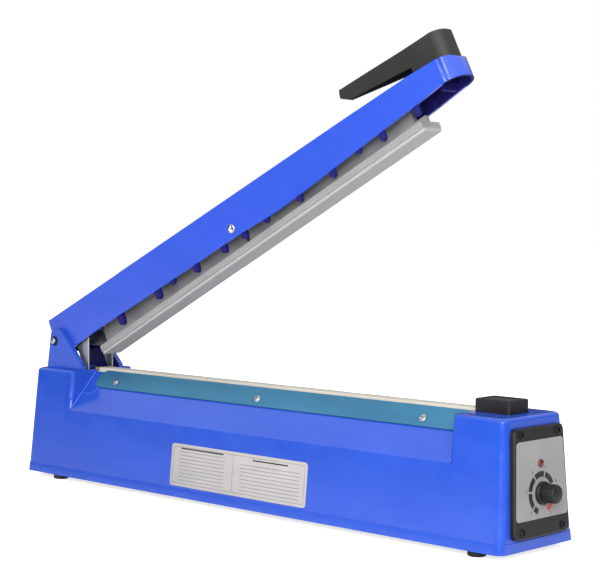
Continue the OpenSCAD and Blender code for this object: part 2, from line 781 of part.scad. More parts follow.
module arm_body(off) {
    intersection() {
        translate([0, 60, 0]) rotate([90, 0, 0]) linear_extrude(height = 120) arm_side(off);
        translate([0, 0, -100]) linear_extrude(height = 200) arm_plan(off);
    }
}

// Guide tabs that hang below the rim and keep the bar central
tab_u = [for (u = [88, 144, 166, 199, 238, 265.7, 294, 336, 377, 409, 436, 474.5]) u * along];
tab_v = [-22.8, -22.8, -18.8, -23, -23, -23.2, -22.3, -24.2, -23.8, -19.2, -22.9, -22.3];

module guide_tabs() {
    for (i = [0 : len(tab_u) - 1]) for (s = [-1, 1]) {
        y1 = arm_half(tab_u[i]) - arm_wall + 0.4;
        y0 = flange_half + 0.5;
        translate([tab_u[i], s > 0 ? y1 : -y0, 0]) rotate([90, 0, 0]) linear_extrude(height = y1 - y0) {
            translate([-3, tab_v[i] + 3]) square([6, -6 - tab_v[i] - 3]);
            translate([0, tab_v[i] + 3]) circle(r = 3, $fn = 32);
        }
    }
}

module arm_shell() {
    color(blue) placed() on_arm() {
        difference() {
            union() {
                difference() {
                    arm_body(0);
                    arm_body(arm_wall);
                }
                // Bosses for the pin, the cross screw, the bar springs and the handle
                for (s = [-1, 1]) side_of(s) {
                    translate([0, -bracket_y - bracket_t - seat, 0]) rotate([90, 0, 0])
                        cylinder(r = 6.5, h = arm_half(0) - 1 - bracket_y - bracket_t - seat, $fn = 48);
                    translate([cross_u, -flange_half - 1, cross_v]) rotate([90, 0, 0])
                        cylinder(r = 4.5, h = arm_half(cross_u) - 1 - flange_half - 1, $fn = 32);
                }
                for (u = handle_screw_u) translate([u, 0, -2]) cylinder(r = 4, h = arm_top(u) + 1, $fn = 32);
                translate([press_u, 1 - arm_half(press_u), -8]) cube([2.2, 2 * arm_half(press_u) - 2, arm_top(press_u) + 7]);
                guide_tabs();
                // Rib that meets the push button
                translate([press_u, -8, press_v]) cube([2.2, 16, 1 - press_v]);
            }
            translate([0, 60, 0]) rotate([90, 0, 0]) cylinder(r = pin_bore, h = 120, $fn = 64);
            translate([cross_u, 60, cross_v]) rotate([90, 0, 0]) cylinder(r = cross_r + 0.06, h = 120, $fn = 48);
            for (u = handle_screw_u) translate([u, 0, -20]) cylinder(r = screw_r + 0.1, h = 40, $fn = 24);
        }
    }
}

module hinge_bracket() {
    // Drawn in base measures, where its sides stand upright while the arm is open
    color(steel) placed() {
        for (s = [-1, 1]) translate([0, s * (bracket_y + bracket_t / 2) + bracket_t / 2, 0])
            rotate([90, 0, 0]) linear_extrude(height = bracket_t) difference() {
                polygon([[bracket_x0, bracket_foot_z + 2], [bracket_x0 + 2, bracket_foot_z],
                    [bracket_x1 - 2, bracket_foot_z], [bracket_x1, bracket_foot_z + 2],
                    [bracket_x1, pivot_z + 8.7], [bracket_x1 - 12, pivot_z + 15.7],
                    [pivot_x + 2, pivot_z + 8], [pivot_x - 5, pivot_z + 2], [pivot_x - 2.5, pivot_z - 6],
                    [pivot_x + 21.7, pivot_z - 5], [bracket_x0, pivot_z - 24.3]]);
                translate([pivot_x, pivot_z]) circle(r = pin_bore, $fn = 48);
                translate([hook_x, hook_z]) circle(r = lift_wire + 0.4, $fn = 32);
            }
        translate([bracket_x1 - 19.4, -bracket_y, pivot_z + 10]) cube([8, 2 * bracket_y, bracket_t]);
    }
}

module cross_screw() {
    reach = arm_half(cross_u);
    color(steel) placed() on_arm() translate([cross_u, 0, cross_v]) rotate([90, 0, 0]) {
        translate([0, 0, -reach - 0.1]) cylinder(r = cross_r, h = 2 * reach + 0.2, $fn = 48);
        translate([0, 0, reach + 0.05]) cylinder(r = 3.9, h = 1.5, $fn = 40);
        translate([0, 0, -reach - 1.65]) cylinder(r = 3.9, h = 1.6, $fn = 40);
    }
}

module coil_spring(r, wire, height, turns) {
    linear_extrude(height = height, twist = -360 * turns, slices = turns * 14)
        translate([r, 0]) circle(r = wire, $fn = 6);
}

module bar_springs() {
    z0 = flange_v1 + spring_notch + seat;
    color("#8E9094") placed() on_arm() for (u = bar_spring_u)
        translate([u, 0, z0]) coil_spring(spring_r, spring_wire, arm_top(u + 5) - arm_wall - seat - z0, spring_turns);
}

// ---------- handle ----------

// Side view of the handle, with x from the arm's nose
module handle_side(off) {
    polygon([[off - 121, 34.7], [off - 118.7, 40.9 - off], [-81, 37.2 - off], [-46, 33.9 - off],
        [-18, 32.4 - off], [-10, 31.6 - off], [-6 - off, 30.2 - off], [-3.6 - off, 26.8],
        [-3.5 - off, arm_top_nose - 1 - off], [-9, arm_top_nose + touch - off],
        [-21, arm_top(arm_length - 21) + touch - off], [-31, 11.6 - off], [-45, 16.6 - off],
        [-61, 19.8 - off], [-81, 23.5 - off], [-112, 28.7 - off]]);
}

module handle_plan(off) {
    hull() {
        translate([tip_half - 121, 0]) circle(r = tip_half - off * tip_half / handle_half, $fn = 32);
        translate([-3.5 - handle_half, 0]) circle(r = handle_half - off, $fn = 64);
    }
}

module handle_body(off) {
    translate([arm_length, 0, 0]) intersection() {
        translate([0, 60, 0]) rotate([90, 0, 0]) linear_extrude(height = 120) handle_side(off);
        translate([0, 0, -20]) linear_extrude(height = 80) handle_plan(off);
    }
}

module handle() {
    color(black) placed() on_arm() difference() {
        union() {
            difference() {
                handle_body(0);
                handle_body(handle_wall);
            }
            intersection() {
                handle_body(0);
                for (u = handle_screw_u) translate([u, 0, 0]) cylinder(r = 3.6, h = 40, $fn = 32);
            }
        }
        for (u = handle_screw_u) translate([u, 0, -1]) cylinder(r = 1.3, h = arm_top(u) + 13, $fn = 24);
    }
}

module handle_screws() {
    color(steel) placed() on_arm() for (u = handle_screw_u) translate([u, 0, -3.8]) {
        cylinder(r = 2.8, h = 1.7, $fn = 32);
        cylinder(r = 1.2, h = arm_top(u) + 15, $fn = 24);
    }
}

// ---------- pressure bar ----------

module pressure_bar() {
    color("#A5A5A5") placed() on_arm() difference() {
        union() {
            translate([bar_start, -flange_half, flange_v0]) cube([bar_length, 2 * flange_half, flange_t]);
            translate([bar_start + 1, -web_t / 2, flange_v1 - 0.5]) cube([bar_length - 2, web_t, web_height + 0.5]);
            translate([cross_u - 8, -web_t / 2, flange_v1]) cube([16, web_t, web_height + lug_rise]);
        }
        // Slot that rides on the cross screw
        translate([cross_u, web_t, 0]) rotate([90, 0, 0]) linear_extrude(height = 2 * web_t) {
            translate([0, cross_v]) circle(r = cross_r + seat, $fn = 48);
            translate([0, cross_v - bar_travel]) circle(r = cross_r + seat, $fn = 48);
            translate([-cross_r - seat, cross_v - bar_travel]) square([2 * (cross_r + seat), bar_travel]);
        }
        // Notches that the springs stand in
        for (u = bar_spring_u) translate([u - 5, -web_t, flange_v1 + spring_notch]) cube([10, 2 * web_t, 30]);
        // Lowered front end of the web, clear of the arm's end tabs
        translate([bar_end - end_notch, -web_t, flange_v1 + web_end]) cube([end_notch + 2, 2 * web_t, web_height]);
    }
}

module silicone_strip() {
    color("#8F8F8F") placed() on_arm() translate([bar_start, -strip_half, -strip_bottom])
        cube([bar_length, 2 * strip_half, strip_t]);
}

// ---------- push button and knob ----------

module push_button() {
    x0 = button_x - button_length / 2;
    color("#2A2A2C") placed() difference() {
        union() {
            translate([0, 0, button_floor]) hull() {
                linear_extrude(height = button_top - button_floor - 0.9) rounded(x0, x0 + button_length, button_width / 2, 2);
                linear_extrude(height = button_top - button_floor) rounded(x0 + 0.6, x0 + button_length - 0.6, button_width / 2 - 0.6, 1.6);
            }
            translate([x0 + 4, -button_width / 2 - button_lip, deck_under - seat - lip_t])
                cube([button_length - 8, button_width + 2 * button_lip, lip_t]);
        }
        translate([x0 + 3, -button_width / 2 + 3, button_top - 0.6]) cube([button_length - 6, button_width - 6, 2]);
        translate([x0 + button_wall, -button_width / 2 + button_wall, button_floor - 1])
            cube([button_length - 2 * button_wall, button_width - 2 * button_wall, button_top - button_floor - 3]);
    }
    color("#2A2A2C") placed() translate([button_x, 0, stem_end]) cylinder(r = stem_r, h = button_top - stem_end - 3, $fn = 48);
}

module button_spring() {
    top = button_top - 4 - seat;
    color("#8E9094") placed() translate([button_x, 0, 0]) {
        translate([0, 0, switch_z + switch_h + spring_wire]) coil_spring(button_spring_r, spring_wire, top - switch_z - switch_h - 2 * spring_wire, 5);
    }
}

module timer_knob() {
    skirt = 3;
    base = panel_out + seat;
    color("#141416") placed() on_panel() translate([0, 0, knob_z - panel_foot_z]) rotate([0, 90, 0]) difference() {
        union() {
            translate([0, 0, base]) cylinder(r = knob_skirt_r, h = skirt, $fn = 64);
            translate([0, 0, base + skirt - 0.1]) cylinder(r = knob_r, h = knob_out - skirt - 0.8, $fn = 64);
            translate([0, 0, base + knob_out - 1]) cylinder(r = knob_r - 0.8, h = 1, $fn = 64);
            translate([0, 0, seat + 2 - base_wall - seat - pot_depth]) cylinder(r = shaft_r, h = pot_depth + base_wall + base, $fn = 64);
        }
        translate([knob_r - 1, -0.5, base + 6]) cube([3, 1, knob_out]);
    }
}

base_shell();
bottom_plate();
feet();
bottom_screws();
seal_rail();
insulating_strip();
heating_element();
terminal_rear();
terminal_front();
ptfe_cloth();
clamp_plates();
clamp_screws();
hinge_pin();
pin_washers();
spring_anchor();
lift_springs();
transformer_core();
transformer_coil();
timer_board();
timer_pot();
micro_switch();
panel_frame();
panel_label();
panel_screws();
lamp();
side_label();
cord_gland();
arm_shell();
hinge_bracket();
cross_screw();
bar_springs();
handle();
handle_screws();
pressure_bar();
silicone_strip();
push_button();
button_spring();
timer_knob();
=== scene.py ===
"""Looks of an open hand impulse sealer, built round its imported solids.

The base moulding, the seal bed, the hinge, the lever arm, the press button and
the timer panel are each a class that holds its sizes in millimetres, builds its
meshes and dresses them. Anything the classes don't replace keeps its solid and
gets a finish.
"""

import logging
import math
from collections.abc import Callable, Iterable, Sequence
from dataclasses import dataclass
from enum import Enum

import bmesh
import bpy
from mathutils import Matrix, Vector


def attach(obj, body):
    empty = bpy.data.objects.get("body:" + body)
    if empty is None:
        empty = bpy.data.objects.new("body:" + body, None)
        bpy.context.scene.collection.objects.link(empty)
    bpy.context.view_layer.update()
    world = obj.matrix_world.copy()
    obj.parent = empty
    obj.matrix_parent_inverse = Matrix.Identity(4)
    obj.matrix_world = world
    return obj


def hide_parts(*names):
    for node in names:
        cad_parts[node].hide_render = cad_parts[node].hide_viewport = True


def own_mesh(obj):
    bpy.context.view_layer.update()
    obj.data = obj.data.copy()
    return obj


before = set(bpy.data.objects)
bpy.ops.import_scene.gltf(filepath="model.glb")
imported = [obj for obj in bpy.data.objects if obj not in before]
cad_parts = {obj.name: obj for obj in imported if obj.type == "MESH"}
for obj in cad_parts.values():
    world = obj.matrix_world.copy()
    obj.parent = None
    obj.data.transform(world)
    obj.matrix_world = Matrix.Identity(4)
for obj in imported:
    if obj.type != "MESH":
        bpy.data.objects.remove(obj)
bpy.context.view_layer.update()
LOG = logging.getLogger("sealer")

MM = 0.001  # one millimetre in metres
NOISE_LOW, NOISE_HIGH = 0.3, 0.7  # where fractal noise mostly stays
WELD_BUILT, WELD_SOLID = 0.002, 0.004  # millimetres under which two points of a shape or of a solid are one
FLAT = 0.4  # degrees under which two faces of a solid lie in one plane

Point = tuple[float, float]


# ---------- small helpers ----------


def linear(code: str) -> tuple[float, float, float, float]:
    """Turns an sRGB hex colour into linear RGBA.

    Args:
        code: Colour such as "#3F5BE0".

    Returns:
        The four linear channels.
    """
    parts = [int(code[i : i + 2], 16) / 255 for i in (1, 3, 5)]
    wide = [c / 12.92 if c <= 0.04045 else ((c + 0.055) / 1.055) ** 2.4 for c in parts]
    return (wide[0], wide[1], wide[2], 1.0)


def add(tree: bpy.types.NodeTree, kind: str, settings: dict | None = None, **inputs) -> bpy.types.Node:
    """Adds one node with its settings and links.

    Args:
        tree: Node tree that gets the node.
        kind: Blender's type name of the node.
        settings: Properties of the node by name.
        inputs: Values or output sockets by input name, "_" standing for a space, or by place as i0, i1.

    Returns:
        The new node.
    """
    made = tree.nodes.new(kind)
    for key, value in (settings or {}).items():
        setattr(made, key, value)
    for key, value in inputs.items():
        by_place = key[0] == "i" and key[1:].isdigit()
        socket = made.inputs[int(key[1:])] if by_place else made.inputs[key.replace("_", " ")]
        if isinstance(value, bpy.types.NodeSocket):
            tree.links.new(value, socket)
        else:
            socket.default_value = value
    return made


def linked(name: str, data: bpy.types.ID) -> bpy.types.Object:
    """Makes an object and links it to the scene.

    Args:
        name: Name of the object.
        data: Its mesh, text, lamp or camera.

    Returns:
        The object.
    """
    made = bpy.data.objects.new(name, data)
    bpy.context.scene.collection.objects.link(made)
    return made


def in_metres(at: Matrix) -> Matrix:
    """Turns a frame in millimetres into one for a mesh in metres.

    Args:
        at: The frame.

    Returns:
        The same frame in metres.
    """
    return Matrix.Scale(MM, 4) @ at @ Matrix.Scale(1 / MM, 4)


def arc(middle: Point, r: float, start: float, turn: float, steps: int) -> list[Point]:
    """Points along an arc, both ends among them.

    Args:
        middle: Middle of the circle.
        r: Its radius.
        start: Angle of the first point, in degrees.
        turn: Angle that is run through, in degrees.
        steps: Number of steps.

    Returns:
        The points.
    """
    angles = [math.radians(start + turn * k / steps) for k in range(steps + 1)]
    return [(middle[0] + r * math.cos(t), middle[1] + r * math.sin(t)) for t in angles]


# ---------- places ----------


@dataclass(frozen=True)
class Places:
    """Frames that the sub-assemblies are drawn in, with lengths in millimetres."""

    rear: float = -284.0
    pivot_x: float = 16.8
    pivot_z: float = 125.3
    open_angle: float = 26.7
    fold_y: float = 38.535
    fold_z: float = 65.0
    ridge_half: float = 7.5
    ridge_z: float = 98.7
    panel_x: float = 553.93
    panel_z: float = 14.0
    panel_tilt: float = 2.994

    @property
    def base(self) -> Matrix:
        """Frame of the base: x from its rear end."""
        return Matrix.Translation((self.rear, 0, 0))

    @property
    def arm(self) -> Matrix:
        """Frame of the open arm: x along it from the hinge axis, z up from it."""
        turn = Matrix.Rotation(math.radians(-self.open_angle), 4, "Y")
        return self.base @ Matrix.Translation((self.pivot_x, 0, self.pivot_z)) @ turn

    @property
    def panel(self) -> Matrix:
        """Frame of the leaning panel: x out of it, z up from its foot."""
        turn = Matrix.Rotation(math.radians(-self.panel_tilt), 4, "Y")
        return self.base @ Matrix.Translation((self.panel_x, 0, self.panel_z)) @ turn

    @property
    def slope_angle(self) -> float:
        """Angle of the shelf above the level, in radians."""
        return math.atan2(self.ridge_z - self.fold_z, self.fold_y - self.ridge_half)

    @property
    def slope_length(self) -> float:
        """Length of the shelf from its fold to the ridge."""
        return math.hypot(self.ridge_z - self.fold_z, self.fold_y - self.ridge_half)

    def slope(self, near: bool) -> Matrix:
        """Frame of one shelf: y up it from the fold, z out of it.

        Args:
            near: True for the shelf that faces -Y.

        Returns:
            The frame; the far one is turned about Z, so x runs back to front there.
        """
        lie = Matrix.Translation((0, -self.fold_y, self.fold_z)) @ Matrix.Rotation(self.slope_angle, 4, "X")
        if near:
            return self.base @ lie
        return Matrix.Rotation(math.pi, 4, "Z") @ Matrix.Translation((-self.rear, 0, 0)) @ lie


PLACES = Places()


# ---------- finishes ----------


class Working(Enum):
    """How a metal surface was made, by how much longer than wide that leaves its lines."""

    PLATED = 1.0
    EXTRUDED = 120.0
    TURNED = 6.0
    ROLLED = 30.0


class Surface:
    """A node material under construction, with its pattern on Object coordinates."""

    def __init__(self, name: str, color: str, **values) -> None:
        """Starts the material with its Principled shader.

        Args:
            name: Name of the material.
            color: Hex colour of its ground.
            values: Other values of the shader by name, "_" standing for a space.
        """
        self.made = bpy.data.materials.new(name)
        self.made.use_nodes = True
        self.tree = self.made.node_tree
        self.shader = next(n for n in self.tree.nodes if n.type == "BSDF_PRINCIPLED")
        self.color = linear(color)
        self.give(Base_Color=self.color, **values)

    def give(self, **values) -> None:
        """Sets values of the shader.

        Args:
            values: Values by name, "_" standing for a space.
        """
        for key, value in values.items():
            self.shader.inputs[key.replace("_", " ")].default_value = value

    def noise(self, size_mm: float, stretch: Sequence[float] = (1, 1, 1), turn: Sequence[float] = (0, 0, 0),
              detail: float = 2.0) -> bpy.types.NodeSocket:
        """Noise on Object coordinates with grains of a real size.

        Args:
            size_mm: Size of one grain.
            stretch: How much longer a grain is along each axis.
            turn: Turn of those axes, in radians.
            detail: Octaves of finer noise.

        Returns:
            The noise value.
        """
        where = add(self.tree, "ShaderNodeTexCoord")
        laid = add(self.tree, "ShaderNodeMapping", {"vector_type": "TEXTURE"},
                   Vector=where.outputs["Object"], Rotation=tuple(turn), Scale=tuple(stretch))
        made = add(self.tree, "ShaderNodeTexNoise", Vector=laid.outputs[0], Scale=1 / (size_mm * MM),
                   Detail=detail)
        return made.outputs["Fac"]

    def lines(self, pitch_mm: float, way: str, vector: bpy.types.NodeSocket,
              distortion: float) -> bpy.types.NodeSocket:
        """Even lines at a real pitch.

        Args:
            pitch_mm: Pitch of the lines.
            way: Axis across them.
            vector: Coordinates that they lie on.
            distortion: How far they stray.

        Returns:
            The height of the lines.
        """
        made = add(self.tree, "ShaderNodeTexWave", {"bands_direction": way}, Vector=vector,
                   Scale=math.pi / 10 / (pitch_mm * MM), Distortion=distortion)
        return made.outputs["Fac"]

    def tint(self, amount: bpy.types.NodeSocket, other: str, low: float, high: float) -> None:
        """Drifts the colour towards another one.

        Args:
            amount: Noise that carries the drift.
            other: Hex colour that it drifts to.
            low: Noise value where the drift starts.
            high: Noise value where it is whole.
        """
        band = add(self.tree, "ShaderNodeMapRange", None, Value=amount, From_Min=low, From_Max=high)
        mixed = add(self.tree, "ShaderNodeMix", {"data_type": "RGBA"}, i0=band.outputs[0], i6=self.color,
                    i7=linear(other))
        self.tree.links.new(mixed.outputs[2], self.shader.inputs["Base Color"])

    def roughen(self, amount: bpy.types.NodeSocket, low: float, high: float) -> None:
        """Lets noise carry the roughness between two values.

        Args:
            amount: Noise value.
            low: Roughness at the bottom of the noise.
            high: Roughness at its top.
        """
        band = add(self.tree, "ShaderNodeMapRange", None, Value=amount, From_Min=NOISE_LOW,
                   From_Max=NOISE_HIGH, To_Min=low, To_Max=high)
        self.tree.links.new(band.outputs[0], self.shader.inputs["Roughness"])

    def bump(self, height: bpy.types.NodeSocket, depth_mm: float) -> None:
        """Turns a height into relief, over any relief that is there.

        Args:
            height: Height from 0 to 1.
            depth_mm: Depth of the relief.
        """
        made = add(self.tree, "ShaderNodeBump", None, Height=height, Distance=depth_mm * MM, Strength=1.0)
        before = self.shader.inputs["Normal"]
        if before.is_linked:
            self.tree.links.new(before.links[0].from_socket, made.inputs["Normal"])
        self.tree.links.new(made.outputs[0], before)


@dataclass(frozen=True)
class Finish:
    """What all finishes share."""

    name: str
    color: str
    roughness: float = 0.5
    ior: float = 1.5
    metallic: float = 0.0

    def pattern(self, on: Surface) -> None:
        """Adds the detail of the finish; a plain one has none.

        Args:
            on: Material that gets it.
        """

    def material(self) -> bpy.types.Material:
        """The material, made once.

        Returns:
            A node material on Object coordinates.
        """
        found = bpy.data.materials.get(self.name)
        if found:
            return found
        on = Surface(self.name, self.color, Roughness=self.roughness, Metallic=self.metallic, IOR=self.ior)
        self.pattern(on)
        return on.made


@dataclass(frozen=True)
class MouldedPlastic(Finish):
    """Injection-moulded plastic: a skin copied from a steel tool, with slow colour drift."""

    drift: str = "#3F5BE0"
    flow_mm: float = 38.0
    grain_mm: float = 0.9
    grain_depth: float = 0.006
    wave_mm: float = 9.0
    wave_depth: float = 0.05
    rough_drift: float = 0.06

    def pattern(self, on: Surface) -> None:
        """Adds melt-flow drift, uneven gloss, tool grain and sink waves."""
        on.tint(on.noise(self.flow_mm, (2.2, 1, 1)), self.drift, 0.35, 0.65)
        on.roughen(on.noise(self.flow_mm * 0.4), self.roughness - self.rough_drift,
                   self.roughness + self.rough_drift)
        on.bump(on.noise(self.wave_mm), self.wave_depth)
        on.bump(on.noise(self.grain_mm, detail=3), self.grain_depth)


@dataclass(frozen=True)
class PlainMetal(Finish):
    """Bare or plated metal: its lines follow how it was worked."""

    metallic: float = 1.0
    working: Working = Working.PLATED
    line_mm: float = 0.35
    line_depth: float = 0.004
    drift: str = "#9C9EA2"
    along: float = 0.0

    def pattern(self, on: Surface) -> None:
        """Adds the lines of the working and cloudy gloss."""
        long = self.working.value
        turn = (0, -math.radians(self.along), 0)
        lines = on.noise(self.line_mm, (long, 1, 1), turn, 3)
        on.bump(lines, self.line_depth)
        on.tint(on.noise(14, (3 if long > 1 else 1, 1, 1), turn), self.drift, 0.4, 0.75)
        on.roughen(lines, self.roughness - 0.06, self.roughness + 0.08)


@dataclass(frozen=True)
class SprayedPaint(Finish):
    """Stoved paint on steel strip: faint orange peel, and rubbed lighter patches."""

    peel_mm: float = 1.6
    peel_depth: float = 0.02
    drift: str = "#5E93AE"

    def pattern(self, on: Surface) -> None:
        """Adds orange peel, clouding along the strip and uneven gloss."""
        on.tint(on.noise(26, (3, 1, 1), detail=4), self.drift, 0.42, 0.8)
        on.roughen(on.noise(8), self.roughness - 0.07, self.roughness + 0.1)
        on.bump(on.noise(self.peel_mm), self.peel_depth)


@dataclass(frozen=True)
class SoftRubber(Finish):
    """Moulded rubber or silicone: dull, with dust and a fine pebble."""

    drift: str = "#55555A"
    pebble_mm: float = 0.7

    def pattern(self, on: Surface) -> None:
        """Adds dust drift and the pebble."""
        on.tint(on.noise(11, (3, 1, 1), detail=5), self.drift, 0.5, 0.9)
        on.bump(on.noise(self.pebble_mm, detail=3), 0.02)


@dataclass(frozen=True)
class CoatedGlassCloth(Finish):
    """Woven glass cloth sealed in fluoropolymer: a square plain weave under a waxy film.

    Real threads stand about 0.4 mm apart, which is too fine to show, so they are drawn 1.1 mm apart.
    """

    thread_mm: float = 1.1
    drift: str = "#A79C80"

    def pattern(self, on: Surface) -> None:
        """Adds the weave on the sheet's own flat coordinates, and handling marks."""
        flat = add(on.tree, "ShaderNodeUVMap", {"uv_map": "flat"}).outputs[0]
        across, along = (on.lines(self.thread_mm, way, flat, 0.4) for way in ("X", "Y"))
        weave = add(on.tree, "ShaderNodeMath", {"operation": "MULTIPLY"}, i0=across, i1=along)
        on.bump(weave.outputs[0], 0.05)
        on.tint(on.noise(17, (5, 1, 1), detail=5), self.drift, 0.45, 0.75)
        on.roughen(on.noise(6, (4, 1, 1)), self.roughness - 0.08, self.roughness + 0.1)


@dataclass(frozen=True)
class PrintedFilm(Finish):
    """Grey-printed polyester film: flat and even, with a slight satin."""

    drift: str = "#C8C8C9"

    def pattern(self, on: Surface) -> None:
        """Adds print clouding and the finest film texture."""
        on.tint(on.noise(30), self.drift, 0.35, 0.7)
        on.bump(on.noise(1.2, detail=3), 0.004)


@dataclass(frozen=True)
class Lens(Finish):
    """Tinted acrylic lens over an unlit lamp."""

    drift: str = "#5E1012"

    def pattern(self, on: Surface) -> None:
        """Adds depth to the tint and a faint mould swirl."""
        on.give(Transmission_Weight=0.25, Coat_Weight=0.4)
        on.tint(on.noise(2.0), self.drift, 0.4, 0.7)
        on.bump(on.noise(1.5), 0.01)


@dataclass(frozen=True)
class Striped(Finish):
    """Stacked or wound material, such as laminations or wire: fine even lines."""

    pitch_mm: float = 1.0
    way: str = "Y"
    drift: str = "#222226"

    def pattern(self, on: Surface) -> None:
        """Adds the lines, darker between the layers."""
        where = add(on.tree, "ShaderNodeTexCoord")
        lines = on.lines(self.pitch_mm, self.way, where.outputs["Object"], 0.3)
        on.tint(lines, self.drift, 0.5, 0.05)
        on.bump(lines, 0.15)


BLUE = MouldedPlastic("Royal_blue_ABS_glossy_moulding", "#2349B3", 0.17, 1.52, drift="#274EBA")
# A lighter copy of the base blue for the arm, painting the brighter light that falls on it.
ARM_BLUE_PAINTED_LIGHTER = MouldedPlastic("Royal_blue_ABS_glossy_arm_painted_lighter", "#2F4EBD", 0.18, 1.52, drift="#3452C3")
# Lighter blue on the real fillets that paints the highlight line along them.
EDGE_BLUE_PAINTED_HIGHLIGHT = MouldedPlastic("Royal_blue_ABS_fillet_painted_highlight", "#3F62D2", 0.4, 1.5, drift="#4469D8",
                           wave_depth=0.0)
# Dark navy that paints the shade inside the arm's channel, between the ears and in the rear well.
BLUE_PAINTED_SHADE = MouldedPlastic("Royal_blue_ABS_painted_shade_inside", "#16135F", 0.7, 1.34, drift="#131056",
                             grain_depth=0.02)
CHARCOAL = MouldedPlastic("Charcoal_ABS_fine_textured", "#242423", 0.5, 1.42, drift="#292927", grain_mm=0.6,
                          grain_depth=0.02, wave_depth=0.02)
# Near-black that paints the shade on the handle's underside and inside its hollow.
CHARCOAL_PAINTED_SHADE = MouldedPlastic("Charcoal_ABS_painted_shade_underside", "#0D0D0C", 0.7, 1.36, drift="#111110")
JET = MouldedPlastic("Jet_black_ABS_satin", "#111112", 0.45, 1.42, drift="#151516", grain_mm=0.6,
                     grain_depth=0.012, wave_depth=0.02)
TEAL = SprayedPaint("Teal_stove_enamel_on_steel_strip", "#2A6180", 0.5, 1.4, drift="#33708F")
ALUMINIUM = PlainMetal("Aluminium_extrusion_matt", "#B4B4B4", 0.52, working=Working.EXTRUDED,
                       drift="#A8A8AA", along=PLACES.open_angle, metallic=0.75)
RAIL_METAL = PlainMetal("Aluminium_flat_bar_drawn", "#B4B6B9", 0.42, working=Working.EXTRUDED)
ZINC = PlainMetal("Bright_zinc_plated_steel", "#C9CCD1", 0.26, working=Working.PLATED, drift="#B2B5BB")
SHEET_ZINC = PlainMetal("Zinc_plated_steel_sheet_rolled", "#B4B7BC", 0.5, working=Working.ROLLED,
                        drift="#A0A3A9")
BLACK_OXIDE = PlainMetal("Black_oxide_steel", "#1B1B1D", 0.4, metallic=0.6, drift="#27272A")
SPRING_WIRE = PlainMetal("Spring_steel_wire_oiled", "#7D7F84", 0.34, working=Working.TURNED, drift="#66686D")
BRASS = PlainMetal("Turned_brass_terminal", "#B98A3A", 0.3, working=Working.TURNED, drift="#9A6E28")
NICHROME = PlainMetal("Nickel_chrome_ribbon", "#A8A29A", 0.34, working=Working.ROLLED, drift="#8E867C")
RUBBER = SoftRubber("Black_rubber_moulded", "#17171A", 0.72)
SILICONE = SoftRubber("Grey_silicone_rubber_extruded", "#A2A2A0", 0.8, drift="#969694")
GLASS_CLOTH = CoatedGlassCloth("Fluoropolymer_coated_glass_cloth", "#BFBBB2", 0.42, 1.4, drift="#B0AB9D")
GLASS_TAPE = Striped("Woven_glass_insulation_tape", "#8C7B5A", 0.7, pitch_mm=1.2, way="X", drift="#6E6045")
FILM = PrintedFilm("Grey_printed_polyester_film", "#868687", 0.55, drift="#8C8C8D")
PAPER = PrintedFilm("Pale_printed_paper_label", "#A4A19F", 0.6, drift="#AAA7A5")
INK = PrintedFilm("Dark_screen_printing_ink", "#18181B", 0.6, drift="#1F1F23")
INK_SOFT = PrintedFilm("Mid_grey_screen_printing_ink", "#77777A", 0.55, drift="#7F7F83")
INK_RED = PrintedFilm("Red_screen_printing_ink", "#B83A3E", 0.5, drift="#B04046")
LAMP_RED = Lens("Red_acrylic_lens", "#6A1418", 0.2, 1.45)
LAMINATIONS = Striped("Varnished_transformer_laminations", "#4A4A4E", 0.5, pitch_mm=1.0, way="Y")
WINDING = Striped("Varnished_copper_winding", "#9A5F2C", 0.4, pitch_mm=0.9, way="Z", drift="#5E3717")
BOARD = PrintedFilm("Green_solder_mask_laminate", "#1F5A33", 0.35, drift="#256840")


# ---------- mesh building ----------


